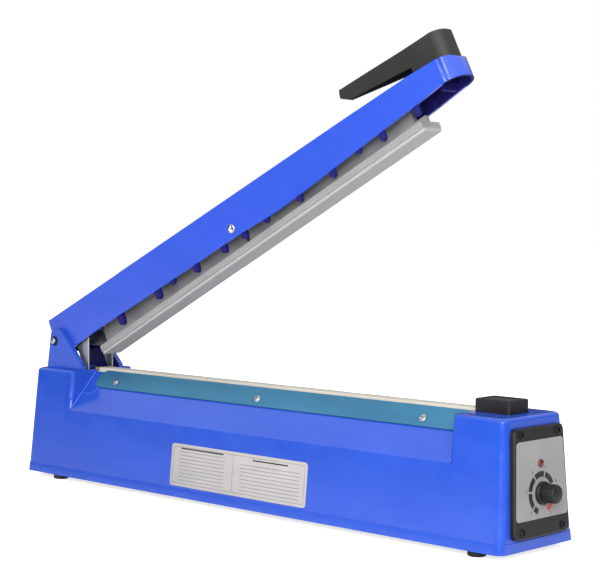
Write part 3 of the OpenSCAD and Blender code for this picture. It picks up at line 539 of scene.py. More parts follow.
class Shape:
    """A mesh under construction, in millimetres, drawn in a frame of its own."""

    def __init__(self, name: str, place: Matrix | None = None) -> None:
        """Starts an empty mesh.

        Args:
            name: Name of the piece.
            place: Frame that the shapes are drawn in.
        """
        self.name = name
        self.place = place or Matrix.Identity(4)
        self.mesh = bmesh.new()

    def _poly(self, rings: Sequence[Sequence[Vector]], caps: bool) -> None:
        """Joins closed rings of points with faces.

        Args:
            rings: Rings with the same number of points.
            caps: Whether the first and the last ring are filled.
        """
        rows = [[self.mesh.verts.new(self.place @ Vector(p)) for p in ring] for ring in rings]
        count = len(rows[0])
        for a, b in zip(rows, rows[1:]):
            for i in range(count):
                j = (i + 1) % count
                self.mesh.faces.new((a[i], a[j], b[j], b[i]))
        if caps:
            self.mesh.faces.new(list(reversed(rows[0])))
            self.mesh.faces.new(rows[-1])

    def close(self) -> "Shape":
        """Merges doubled points and turns the faces outwards.

        Returns:
            This shape.
        """
        bmesh.ops.remove_doubles(self.mesh, verts=self.mesh.verts, dist=WELD_BUILT)
        bmesh.ops.recalc_face_normals(self.mesh, faces=self.mesh.faces)
        return self

    def lathe(self, profile: Sequence[Point], at: Matrix | None = None, steps: int = 48) -> "Shape":
        """Turns a profile about z.

        Args:
            profile: Radius and height of each point, from one pole to the other.
            at: Placement of the turned shape in this shape's frame.
            steps: Sides of the turned shape.

        Returns:
            This shape.
        """
        at = at or Matrix.Identity(4)
        circle = arc((0, 0), 1, 0, 360, steps)[:-1]
        self._poly([[at @ Vector((r * x, r * y, z)) for x, y in circle] for r, z in profile], False)
        return self

    def prism(self, outline: Sequence[Point], low: float, high: float, at: Matrix | None = None,
              chamfer: float = 0.0) -> "Shape":
        """Raises an outline along z, with an optional chamfer round its top.

        Args:
            outline: Points of the outline, anticlockwise.
            low: Height of its foot.
            high: Height of its top.
            at: Placement in this shape's frame.
            chamfer: Width of the chamfer.

        Returns:
            This shape.
        """
        at = at or Matrix.Identity(4)
        levels = [(0.0, low), (0.0, high)]
        if chamfer:
            eased = chamfer * 0.3
            levels = [(0.0, low), (0.0, high - chamfer), (eased, high - eased), (chamfer, high)]
        rings = [[at @ Vector((x, y, z)) for x, y in inset(outline, d)] for d, z in levels]
        self._poly(rings, True)
        return self

    def sweep(self, path: Sequence[Vector], radius: float, steps: int = 10) -> "Shape":
        """Runs a round wire along a path.

        Args:
            path: Points of the path.
            radius: Radius of the wire.
            steps: Sides of the wire.

        Returns:
            This shape.
        """
        points = [Vector(p) for p in path]
        rings = []
        side = None
        for i, here in enumerate(points):
            ahead = (points[min(i + 1, len(points) - 1)] - points[max(i - 1, 0)]).normalized()
            start = side if side is not None else ahead.orthogonal()
            side = (start - ahead * start.dot(ahead)).normalized()
            up = ahead.cross(side)
            turns = (2 * math.pi * k / steps for k in range(steps))
            rings.append([here + (side * math.cos(t) + up * math.sin(t)) * radius for t in turns])
        self._poly(rings, True)
        return self

    def carry(self, source: str | bpy.types.Object) -> "Shape":
        """Takes in a merged copy of a solid's mesh, or of a loose object's, which is then removed.

        Args:
            source: Name of the solid, or the object.

        Returns:
            This shape.
        """
        loose = None if isinstance(source, str) else source
        self.mesh.from_mesh(loose.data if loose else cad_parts[source].data)
        if loose:
            bpy.data.objects.remove(loose)
        bmesh.ops.scale(self.mesh, vec=(1 / MM,) * 3, verts=self.mesh.verts)
        bmesh.ops.remove_doubles(self.mesh, verts=self.mesh.verts, dist=WELD_SOLID)
        bmesh.ops.dissolve_limit(self.mesh, angle_limit=math.radians(FLAT), verts=self.mesh.verts,
                                 edges=self.mesh.edges, delimit={"NORMAL"})
        return self

    def soften(self, width: float, chosen: Callable[[Vector, Vector], bool] | None = None,
               segments: int = 2, angle: float = 32.0) -> "Shape":
        """Rounds sharp edges, measured in this shape's frame.

        Args:
            width: Width of the rounding.
            chosen: Says from an edge's middle and direction whether it is rounded.
            segments: Facets across the rounding.
            angle: Least angle between the faces of a rounded edge, in degrees.

        Returns:
            This shape.
        """
        back = self.place.inverted()
        edges = []
        for edge in self.mesh.edges:
            if len(edge.link_faces) != 2 or edge.calc_length() < width * 1.2:
                continue
            if edge.calc_face_angle(0) < math.radians(angle):
                continue
            a, b = (back @ v.co for v in edge.verts)
            if chosen is None or chosen((a + b) / 2, (b - a).normalized()):
                edges.append(edge)
        bmesh.ops.bevel(self.mesh, geom=edges, offset=width, offset_type="OFFSET", segments=segments,
                        profile=0.5, affect="EDGES", clamp_overlap=True, material=-1)
        return self

    def paint(self, index: int, chosen: Callable[[Vector, Vector], bool]) -> "Shape":
        """Gives some faces another slot.

        Args:
            index: Material slot.
            chosen: Says from a face's middle and normal, in this shape's frame, whether it changes.

        Returns:
            This shape.
        """
        back = self.place.inverted()
        turn = back.to_3x3()
        for face in self.mesh.faces:
            if chosen(back @ face.calc_center_median(), turn @ face.normal):
                face.material_index = index
        return self

    def done(self, body: str, slot: str, *finishes: Finish, replaces: Iterable[str] = (),
             smooth: float = 38.0, outward: bool = True, even: bool = False) -> bpy.types.Object:
        """Makes the object, dresses it and lets it ride.

        Args:
            body: Body that it moves with.
            slot: Name of a material slot; not used.
            finishes: Finishes by slot.
            replaces: Solids that it stands for.
            smooth: Edges flatter than this are shaded smooth, in degrees.
            outward: Whether the shape is closed, so that its faces are turned outwards first.
            even: Whether large faces hold the shading of the small ones beside them.

        Returns:
            The finished object.
        """
        if outward:
            self.close()
        return dress(self.bare(), body, slot, *finishes, replaces=replaces, smooth=smooth, even=even)

    def bare(self) -> bpy.types.Object:
        """Makes a plain object of the shape, which is used up.

        Returns:
            An object in metres, linked to the scene.
        """
        bmesh.ops.scale(self.mesh, vec=(MM,) * 3, verts=self.mesh.verts)
        data = bpy.data.meshes.new(self.name)
        self.mesh.to_mesh(data)
        self.mesh.free()
        return linked(self.name, data)


def dress(made: bpy.types.Object, body: str, slot: str, *finishes: Finish, replaces: Iterable[str] = (),
          smooth: float = 38.0, even: bool = False) -> bpy.types.Object:
    """Gives an object its finishes and lets it ride on a body.

    Args:
        made: Linked object whose mesh is in metres and in place.
        body: Body that it moves with.
        slot: Name of a material slot; not used.
        finishes: Finishes by slot.
        replaces: Solids that it stands for.
        smooth: Edges flatter than this are shaded smooth, in degrees.
        even: Whether large faces hold the shading of the small ones beside them.

    Returns:
        The same object.
    """
    if made.data.materials:
        made.data.materials.clear()
    for finish in finishes:
        made.data.materials.append(finish.material())
    made.data.shade_smooth()
    made.data.set_sharp_from_angle(angle=math.radians(smooth))
    if even:
        made.modifiers.new("even_shading", "WEIGHTED_NORMAL").keep_sharp = True
    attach(made, body)
    names = list(replaces)
    if names:
        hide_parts(*names)
    LOG.info("piece %s on %s: %d faces", made.name, body, len(made.data.polygons))
    return made


def coat(node: str, finish: Finish) -> None:
    """Gives a solid that stays its finish.

    Args:
        node: Name of the solid.
        finish: Finish for all of it.
    """
    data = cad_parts[node].data
    data.materials.clear()
    data.materials.append(finish.material())
    LOG.info("solid %s: %s", node, finish.name)


def inset(outline: Sequence[Point], d: float) -> list[Point]:
    """Moves a convex outline inwards.

    Args:
        outline: Points, anticlockwise.
        d: Distance.

    Returns:
        The moved points.
    """
    if not d:
        return list(outline)
    count = len(outline)
    moved = []
    for i, (x, y) in enumerate(outline):
        ax, ay = outline[i - 1]
        bx, by = outline[(i + 1) % count]
        n1 = Vector((ay - y, x - ax)).normalized()
        n2 = Vector((y - by, bx - x)).normalized()
        n = n1 + n2
        reach = d / max(n.length * n.length / 2, 0.2)
        moved.append((x + n.x * reach, y + n.y * reach))
    return moved


def rounded_box(x0: float, y0: float, x1: float, y1: float, r: float, steps: int = 6) -> list[Point]:
    """Outline of a rectangle with round corners, anticlockwise.

    Args:
        x0: Left side.
        y0: Lower side.
        x1: Right side.
        y1: Upper side.
        r: Corner radius.
        steps: Sides of each corner.

    Returns:
        The outline.
    """
    corners = [(x1 - r, y0 + r, -90), (x1 - r, y1 - r, 0), (x0 + r, y1 - r, 90), (x0 + r, y0 + r, 180)]
    points = []
    for cx, cy, start in corners:
        points += arc((cx, cy), r, start, 90, steps)
    return points


def facing(origin: Sequence[float], normal: Sequence[float]) -> Matrix:
    """Frame whose z points along a normal.

    Args:
        origin: Where it stands.
        normal: Its z direction.

    Returns:
        The frame.
    """
    return Matrix.Translation(Vector(origin)) @ Vector(normal).to_track_quat("Z", "Y").to_matrix().to_4x4()


# ---------- Geometry Nodes ----------


@dataclass(frozen=True)
class ScrewHead:
    """A domed pan head with a cross recess."""

    radius: float
    height: float
    recess: float = 0.62
    depth: float = 0.55
    arm: float = 0.17
    seat: float = -0.3

    def shape(self, name: str) -> bpy.types.Object:
        """Builds one head with its seat at z = 0, in metres.

        Args:
            name: Name of the object.

        Returns:
            The head, not yet placed.
        """
        r, h = self.radius, self.height
        dome = [(r * x, h * (0.45 + 0.55 * y)) for x, y in arc((0, 0), 1, 0, 84, 7)]
        made = Shape(name).lathe([(0, self.seat), (r, self.seat)] + dome + [(0, h)], steps=32)
        reach, wide = r * self.recess, r * self.arm
        cross = []
        quarter = [(reach, -wide), (reach, wide), (wide, wide)]
        for _ in range(4):
            cross += quarter
            quarter = [(-y, x) for x, y in quarter]
        return cut(made.close(), Shape(name + "_tool").prism(cross, h * (1 - self.depth), h + 1))


def settled(made: bpy.types.Object, name: str) -> bpy.types.Object:
    """Turns an object with modifiers into one with a plain mesh.

    Args:
        made: Object whose modifiers are applied.
        name: Name of the result.

    Returns:
        The plain object, linked to the scene; the old one is removed.
    """
    bpy.context.view_layer.update()
    graph = bpy.context.evaluated_depsgraph_get()
    data = bpy.data.meshes.new_from_object(made.evaluated_get(graph))
    made.modifiers.clear()
    bpy.data.objects.remove(made)
    data.name = name
    return linked(name, data)


def cut(body: Shape, tool: Shape, how: str = "DIFFERENCE") -> bpy.types.Object:
    """Takes one shape out of another, or keeps what they share.

    Args:
        body: Shape that is kept.
        tool: Shape that is taken out, or kept where both are.
        how: Blender's name of the operation.

    Returns:
        The result, in metres.
    """
    name = body.name
    for shape in (body, tool):
        bmesh.ops.recalc_face_normals(shape.mesh, faces=shape.mesh.faces)
    whole, part = body.bare(), tool.bare()
    step = whole.modifiers.new("carve", "BOOLEAN")
    step.operation = how
    step.solver = "EXACT"
    step.object = part
    made = settled(whole, name)
    bpy.data.objects.remove(part)
    return made


class NodeTool:
    """A Geometry Nodes tree with named inputs that ends in plain, dressed geometry."""

    def __init__(self, name: str, inputs: Sequence[tuple[str, str]]) -> None:
        """Starts the tree.

        Args:
            name: Name of the tree.
            inputs: Name and socket type of each input.
        """
        self.tree = bpy.data.node_groups.new(name, "GeometryNodeTree")
        face = self.tree.interface
        face.new_socket("Geometry", in_out="INPUT", socket_type="NodeSocketGeometry")
        for label, kind in inputs:
            face.new_socket(label, in_out="INPUT", socket_type=kind)
        face.new_socket("Finish", in_out="INPUT", socket_type="NodeSocketMaterial")
        face.new_socket("Geometry", in_out="OUTPUT", socket_type="NodeSocketGeometry")
        self.inlet = add(self.tree, "NodeGroupInput")

    def end(self, geometry: bpy.types.NodeSocket) -> None:
        """Realizes the instances and sets the finish.

        Args:
            geometry: What the tree made.
        """
        real = add(self.tree, "GeometryNodeRealizeInstances", None, Geometry=geometry)
        dressed = add(self.tree, "GeometryNodeSetMaterial", None, Geometry=real.outputs[0],
                      Material=self.inlet.outputs["Finish"])
        add(self.tree, "NodeGroupOutput", None, Geometry=dressed.outputs[0])

    def run(self, name: str, source: bpy.types.Object, finish: Finish, **values) -> bpy.types.Object:
        """Runs the tree on an object.

        Args:
            name: Name of the result.
            source: Object that the tree starts from; it is used up.
            finish: Finish of the result.
            values: Input values by name, "_" standing for a space.

        Returns:
            The result as a plain object.
        """
        step = source.modifiers.new("nodes", "NODES")
        step.node_group = self.tree
        given = {key.replace("_", " "): value for key, value in values.items()}
        given["Finish"] = finish.material()
        for item in self.tree.interface.items_tree:
            if item.item_type == "SOCKET" and item.in_out == "INPUT" and item.name in given:
                step[item.identifier] = given[item.name]
        return settled(source, name)


class Scatter(NodeTool):
    """Stands a copy of a part on each point, turned to the point's own direction."""

    def __init__(self) -> None:
        """Builds the tree."""
        super().__init__("parts_on_points", [("Part", "NodeSocketObject"), ("Turn", "NodeSocketFloat"),
                                             ("Seed", "NodeSocketInt")])
        tree = self.tree
        part = add(tree, "GeometryNodeObjectInfo", None, Object=self.inlet.outputs["Part"])
        way = add(tree, "GeometryNodeInputNamedAttribute", {"data_type": "FLOAT_VECTOR"}, Name="way")
        aim = add(tree, "FunctionNodeAlignRotationToVector", {"axis": "Z"}, Vector=way.outputs[0])
        chance = add(tree, "FunctionNodeRandomValue", {"data_type": "FLOAT"}, Seed=self.inlet.outputs["Seed"])
        tree.links.new(self.inlet.outputs["Turn"], chance.inputs[3])
        spin = add(tree, "FunctionNodeAxisAngleToRotation", None, Axis=(0, 0, 1), Angle=chance.outputs[1])
        both = add(tree, "FunctionNodeRotateRotation", {"rotation_space": "LOCAL"}, Rotation=aim.outputs[0],
                   Rotate_By=spin.outputs[0])
        stood = add(tree, "GeometryNodeInstanceOnPoints", None, Points=self.inlet.outputs["Geometry"],
                    Instance=part.outputs["Geometry"], Rotation=both.outputs[0])
        self.end(stood.outputs[0])

    def place(self, name: str, part: bpy.types.Object, spots: Sequence[tuple[Vector, Vector]],
              finish: Finish, seed: int, turn: float = math.pi) -> bpy.types.Object:
        """Places copies of a part.

        Args:
            name: Name of the result.
            part: Part in metres, used up.
            spots: Point and direction of each copy, in millimetres.
            finish: Finish of the copies.
            seed: Seed of the chance turn about the direction.
            turn: Range of that turn.

        Returns:
            One object with all copies.
        """
        data = bpy.data.meshes.new(name + "_spots")
        data.from_pydata([tuple(p * MM) for p, _ in spots], [], [])
        way = data.attributes.new("way", "FLOAT_VECTOR", "POINT")
        for i, (_, normal) in enumerate(spots):
            way.data[i].vector = normal
        made = self.run(name, linked(name + "_spots", data), finish, Part=part, Turn=turn, Seed=seed)
        bpy.data.objects.remove(part)
        return made


class Coil(NodeTool):
    """Winds round wire along a helix."""

    def __init__(self) -> None:
        """Builds the tree."""
        super().__init__("wound_wire", [("Turns", "NodeSocketFloat"), ("Radius", "NodeSocketFloat"),
                                        ("Height", "NodeSocketFloat"), ("Wire", "NodeSocketFloat")])
        tree, given = self.tree, self.inlet.outputs
        line = add(tree, "GeometryNodeCurveSpiral", None, Resolution=22, Rotations=given["Turns"],
                   Start_Radius=given["Radius"], End_Radius=given["Radius"], Height=given["Height"])
        ring = add(tree, "GeometryNodeCurvePrimitiveCircle", None, Resolution=8, Radius=given["Wire"])
        wound = add(tree, "GeometryNodeCurveToMesh", None, Curve=line.outputs[0],
                    Profile_Curve=ring.outputs[0], Fill_Caps=True)
        self.end(wound.outputs[0])

    def wind(self, name: str, at: Matrix, turns: float, radius: float, height: float, wire: float,
             finish: Finish) -> bpy.types.Object:
        """Winds one spring.

        Args:
            name: Name of the result.
            at: Frame whose z is the spring's axis, in millimetres.
            turns: Number of turns.
            radius: Radius of the wire's middle line.
            height: Height of that line.
            wire: Radius of the wire.
            finish: Finish of the wire.

        Returns:
            The spring, with its place in its mesh.
        """
        source = linked(name + "_seed", bpy.data.meshes.new(name + "_seed"))
        made = self.run(name, source, finish, Turns=turns, Radius=radius * MM, Height=height * MM,
                        Wire=wire * MM)
        made.data.transform(in_metres(at))
        return made


class Ruling(NodeTool):
    """Repeats a thin printed bar at an even pitch."""

    def __init__(self) -> None:
        """Builds the tree."""
        super().__init__("ruled_bars", [("Count", "NodeSocketInt"), ("Pitch", "NodeSocketVector"),
                                        ("Bar", "NodeSocketVector")])
        tree, given = self.tree, self.inlet.outputs
        row = add(tree, "GeometryNodeMeshLine", {"mode": "OFFSET"}, Count=given["Count"],
                  Offset=given["Pitch"])
        bar = add(tree, "GeometryNodeMeshCube", None, Size=given["Bar"])
        laid = add(tree, "GeometryNodeInstanceOnPoints", None, Points=row.outputs[0], Instance=bar.outputs[0])
        self.end(laid.outputs[0])

    def rule(self, name: str, at: Matrix, start: Sequence[float], count: int, pitch: Sequence[float],
             bar: Sequence[float], finish: Finish) -> bpy.types.Object:
        """Prints a row of bars.

        Args:
            name: Name of the result.
            at: Frame that they are drawn in, in millimetres.
            start: Middle of the first bar.
            count: Number of bars.
            pitch: Step from one to the next.
            bar: Size of a bar.
            finish: Ink.

        Returns:
            The bars, with their place in their mesh.
        """
        source = linked(name + "_seed", bpy.data.meshes.new(name + "_seed"))
        made = self.run(name, source, finish, Count=count, Pitch=tuple(Vector(pitch) * MM),
                        Bar=tuple(Vector(bar) * MM))
        made.data.transform(in_metres(at @ Matrix.Translation(start)))
        return made


def together(name: str, parts: Sequence[bpy.types.Object]) -> bpy.types.Object:
    """Joins plain objects that share their finish into one.

    Args:
        name: Name of the result.
        parts: Objects, used up.

    Returns:
        One object.
    """
    mesh = bmesh.new()
    for part in parts:
        mesh.from_mesh(part.data)
        bpy.data.objects.remove(part)
    data = bpy.data.meshes.new(name)
    mesh.to_mesh(data)
    mesh.free()
    return linked(name, data)


# ---------- sub-assemblies ----------


@dataclass
class BaseMoulding:
    """The blue base with its feet, floor, cord gland and side label."""

    length: float = 554.4
    block_top: float = 100.6
    rear_block: float = 58.0
    front_face: float = 502.8
    ear_in: float = 19.4
    ear_out: float = 24.0
    label_x: Point = (201.5, 362.0)
    label_z: Point = (14.4, 50.0)
    label_margin: float = 2.6
    half_foot: float = 44.5
    half_top: float = 35.0
    foot_z: float = 5.0
    pocket_x: float = 75.0
    pocket_s: float = 20.5
    pocket_round: float = 8.0
    seam_half: float = 0.2
    corner_round: float = 3.0
    foot_rear: float = 39.0
    foot_front: float = 29.4
    foot_side: float = 34.0

    def pocket_corner(self, steps: int) -> list[Point]:
        """Round corner of the pocket beside a clamp plate, on its shelf.

        Args:
            steps: Number of steps.

        Returns:
            The points along the corner.
        """
        r = self.pocket_round
        return arc((self.pocket_x - r, self.pocket_s + r), r, -90, 90, steps)

    def shell(self) -> None:
        """Cuts the pockets beside the clamp plates, the seams below the pivots and the upright corners.

        Then it paints shade in dark navy on the faces between the ears and in the rear well, and rounds the
        edges.
        """
        made = Shape("base_moulding", PLACES.base).carry("base_shell")
        for near in (True, False):
            x0, s1 = self.rear_block + 0.3, PLACES.slope_length - 1.2
            outline = [(x0, self.pocket_s)] + self.pocket_corner(8) + [(self.pocket_x, s1), (x0, s1)]
            if not near:
                outline = [(-x, y) for x, y in reversed(outline)]
            tool = Shape("pocket", PLACES.slope(near)).prism(outline, -0.7, 3)
            side = -1 if near else 1
            tool.place = PLACES.base
            left, right = PLACES.pivot_x - self.seam_half, PLACES.pivot_x + self.seam_half
            deep, out = side * (self.ear_out - 0.35), side * (self.ear_out + 1)
            tool.prism([(left, deep), (right, deep), (right, out), (left, out)], self.block_top + 0.3,
                       PLACES.pivot_z - 4.8)
            for x, way in ((self.rear_block, 1), (self.front_face, -1)):
                tool.prism(self.corner_cut(way, side), 0, 45, self.wall_edge(x, side))
            made = Shape("base_moulding", PLACES.base).carry(cut(made, tool))

        def inner(p: Vector, n: Vector) -> bool:
            """Whether a face gets the painted shade: between the ears or in the rear well."""
            if p.z > self.block_top + 1:
                return abs(p.y) < self.ear_in + 0.4 and n.y * p.y <= 0.01 and n.z < 0.5 and abs(n.x) < 0.6
            return p.x < self.rear_block - 0.5 and abs(p.y) < self.ear_in + 0.4 and p.z < self.block_top - 3

        # Slot 1 is dark navy that paints the shade between the ears and in the rear well.
        made.paint(1, inner)
        made.soften(0.6, lambda p, d: p.z > 13.5 and abs(p.y) < self.ear_out + 0.1 or p.z > 60, 2)
        made.done("base", "base_plastic", BLUE, BLUE_PAINTED_SHADE, replaces=["base_shell"], even=True)

    def wall_edge(self, x: float, side: int) -> Matrix:
        """Frame at the foot of an upright corner beside the shelf: z up the drafted wall.

        Args:
            x: Where the corner stands along the base.
            side: -1 for the near wall, 1 for the far one.

        Returns:
            The frame.
        """
        lean = math.atan2(PLACES.fold_y - self.half_top, self.block_top - PLACES.fold_z)
        foot = Matrix.Translation((x, side * PLACES.fold_y, PLACES.fold_z))
        return foot @ Matrix.Rotation(side * lean, 4, "X")

    def corner_cut(self, way: int, side: int) -> list[Point]:
        """Outline of what a rounding takes off an upright corner.

        Args:
            way: Direction along the base in which the corner looks.
            side: -1 for the near wall, 1 for the far one.

        Returns:
            The outline, with the corner at the origin.
        """
        r = self.corner_round
        bend = [(way * x, side * y) for x, y in arc((-r, -r), r, 0, 90, 6)]
        return bend + [(-way * r, side), (way, side), (way, -side * r)]

    def fillets(self) -> None:
        """Runs the small fillets in the shelf's corners and round the pockets, in a lighter blue that paints
        the highlight along them.
        """
        made = Shape("shelf_fillets", PLACES.base)
        for near in (True, False):
            at = PLACES.base.inverted() @ PLACES.slope(near)
            way = 1 if near else -1
            for x in (self.rear_block, self.front_face):
                made.sweep([at @ Vector((way * x, s, 0.1)) for s in (0.6, PLACES.slope_length - 0.8)], 0.6)
            path = [(self.rear_block + 1, self.pocket_s)] + self.pocket_corner(10)
            made.sweep([at @ Vector((way * x, s, -0.05)) for x, s in path], 0.32)
        made.done("base", "base_plastic", EDGE_BLUE_PAINTED_HIGHLIGHT)

    def label(self) -> None:
        """Prints a blank ruled form on the side label."""
        tilt = math.atan2(self.half_foot - self.half_top, self.block_top - self.foot_z)
        y = -(self.half_foot - (self.label_z[0] - self.foot_z) * math.tan(tilt))
        at = PLACES.base @ Matrix.Translation((self.label_x[0], y, self.label_z[0]))
        at = at @ Matrix.Rotation(math.pi / 2 - tilt, 4, "X")
        wide = self.label_x[1] - self.label_x[0]
        tall = (self.label_z[1] - self.label_z[0]) / math.cos(tilt)
        face = Shape("side_label_film", at)
        face.prism(rounded_box(0, 0, wide, tall, 3), 0.02, 0.42, chamfer=0.1)
        face.done("base", "label", PAPER, replaces=["side_label"])
        margin = self.label_margin
        across, up = wide - 2 * margin, tall - 2 * margin
        form = (("rows_left", (38, 5.4), 9, (0, 3.0), (56, 0.5)),
                ("rows_right", (119, 5.4), 8, (0, 3.0), (68, 0.5)),
                ("sides", (margin, tall / 2), 2, (across, 0), (0.4, up)),
                ("ends", (wide / 2, margin), 2, (0, up), (across, 0.4)),
                ("middle", (76, tall / 2), 1, (1, 0), (0.4, up)))
        heads = (("head_left", (38, 32.2), 1, (1, 0), (52, 1.1)),
                 ("head_right", (119, 31.0), 1, (1, 0), (40, 1.1)))
        ruling = Ruling()
        for piece, rows, ink in (("side_label_form", form, INK_SOFT), ("side_label_headings", heads, INK)):
            bars = [ruling.rule(name, at, (*start, 0.44), count, (*pitch, 0), (*size, 0.04), ink)
                    for name, start, count, pitch, size in rows]
            dress(together(piece, bars), "base", "label", ink)

    def feet(self) -> None:
        """Turns the rubber feet."""
        profile = [(0, 1.2), (2.4, 1.2), (2.4, 0.5), (2.9, 0.0), (5.9, 0), (6.6, 0.3), (6.9, 0.9), (6.9, 5),
                   (2, 5), (2, 6.2), (3.2, 6.2), (2, 8.2), (0, 8.2)]
        made = Shape("rubber_feet", PLACES.base)
        for x in (self.foot_rear, self.length - self.foot_front):
            for y in (-self.foot_side, self.foot_side):
                made.lathe(profile, Matrix.Translation((x, y, 0)), 40)
        made.done("base", "rubber", RUBBER, replaces=["feet"])

    def build(self) -> None:
        """Builds and dresses the base."""
        self.shell()
        self.fillets()
        self.label()
        self.feet()
        coat("bottom_plate", SHEET_ZINC)
        coat("bottom_screws", ZINC)
        coat("cord_gland", RUBBER)


@dataclass
class SealBed:
    """Rail, element, cloth and the two clamp plates on the sloping shelves."""

    rail_half: float = 6.1
    cloth_top: float = 102.55
    x0: float = 58.5
    x1: float = 502.0
    clamp_x: Point = (69.5, 502.3)
    clamp_s: Point = (28.0, 47.0)
    covered: float = 72.5
    clamp_round: float = 8.0
    screw_x: tuple[float, ...] = (97.0, 280.4, 458.8)
    cloth_t: float = 0.4
    clamp_t: float = 1.0
    weave_t: float = 0.16
    ripple: float = 0.05
    steps: int = 90

    def cloth(self) -> None:
        """Lays the cloth over the rail and under the plates."""
        slope_n = Vector((0, -math.sin(PLACES.slope_angle), math.cos(PLACES.slope_angle)))
        up = Vector((0, math.cos(PLACES.slope_angle), math.sin(PLACES.slope_angle)))
        fold = Vector((0, -PLACES.fold_y, PLACES.fold_z))
        low = fold + up * (self.clamp_s[0] + 1.5) + slope_n * 0.35
        high = fold + up * (PLACES.slope_length - 0.3) + slope_n * 0.35
        rail, over, ridge = -self.rail_half, self.cloth_top, PLACES.ridge_z
        bends = ((-PLACES.ridge_half + 0.4, ridge + 0.4), (rail - 0.55, ridge + 0.5),
                 (rail - 0.42, ridge + 1.1), (rail - 0.36, over - 0.9), (rail - 0.1, over - 0.32),
                 (rail + 0.6, over - 0.06), (-1.4, over - 0.06), (0, over - 0.02))
        half = [low, high] + [Vector((0, y, z)) for y, z in bends]
        path = half + [Vector((0, -p.y, p.z)) for p in reversed(half[:-1])]
        run = [0.0]
        for a, b in zip(path, path[1:]):
            run.append(run[-1] + (b - a).length)
        made = Shape("release_cloth", PLACES.base)
        steps = self.steps
        grid = []
        places = [self.x0 + (self.covered - self.x0) * k / 3 for k in range(3)]
        places += [self.covered + (self.x1 - self.covered) * k / (steps - 3) for k in range(steps - 2)]
        for x in places:
            row = []
            for i, p in enumerate(path):
                ripple = self.ripple * math.sin(x * 0.11 + i) * math.sin(x * 0.037 + 2 * i)
                row.append(made.mesh.verts.new(made.place @ Vector((x, p.y, p.z + ripple))))
            grid.append(row)
        layer = made.mesh.loops.layers.uv.new("flat")
        for k in range(steps):
            for i in range(len(path) - 1):
                if places[k] < self.covered - 0.1 and i in (0, len(path) - 2):
                    continue
                corners = ((k, i), (k + 1, i), (k + 1, i + 1), (k, i + 1))
                face = made.mesh.faces.new([grid[a][b] for a, b in corners])
                for loop, (a, b) in zip(face.loops, corners):
                    loop[layer].uv = ((places[a] - self.x0) * MM, run[b] * MM)
        bmesh.ops.delete(made.mesh, geom=[v for v in made.mesh.verts if not v.link_faces], context="VERTS")
        piece = made.done("base", "ptfe", GLASS_CLOTH, replaces=["ptfe_cloth"], smooth=50, outward=False)
        wall = piece.modifiers.new("weave_thickness", "SOLIDIFY")
        wall.thickness = self.weave_t * MM
        wall.offset = -1

    def plates(self) -> None:
        """Makes the two painted strips, with round corners at their rear ends."""
        for near in (True, False):
            made = Shape(f"clamp_plate_{'near' if near else 'far'}", PLACES.slope(near))
            x0, x1 = self.clamp_x
            s0, s1 = self.clamp_s
            r = self.clamp_round
            outline = arc((x0 + r, s1 - r), r, 90, 90, 8) + arc((x0 + r, s0 + r), r, 180, 90, 8)
            outline += [(x1, s0), (x1, s1)]
            if not near:
                outline = [(-x, y) for x, y in reversed(outline)]
            made.prism(outline, self.cloth_t + 0.2, self.cloth_t + 0.2 + self.clamp_t, chamfer=0.25)
            made.done("base", "clamp_paint", TEAL, replaces=["clamp_plates"])

    def screws(self) -> None:
        """Stands a zinc-plated pan head at each clamp hole."""
        spots = []
        s = (self.clamp_s[0] + self.clamp_s[1]) / 2 - 2.8
        for near in (True, False):
            at = PLACES.slope(near)
            for x in self.screw_x:
                here = at @ Vector((x if near else -x, s, self.cloth_t + 0.2 + self.clamp_t))
                spots.append((here, at.to_3x3() @ Vector((0, 0, 1))))
        head = ScrewHead(3.3, 1.8).shape("clamp_head")
        made = Scatter().place("clamp_screw_heads", head, spots, ZINC, seed=5)
        dress(made, "base", "screws", ZINC, replaces=["clamp_screws"])

    def build(self) -> None:
        """Builds and dresses the seal bed."""
        self.cloth()
        self.plates()
        self.screws()
        coat("seal_rail", RAIL_METAL)
        coat("insulating_strip", GLASS_TAPE)
        coat("heating_element", NICHROME)
        coat("terminal_rear", BRASS)
        coat("terminal_front", BRASS)


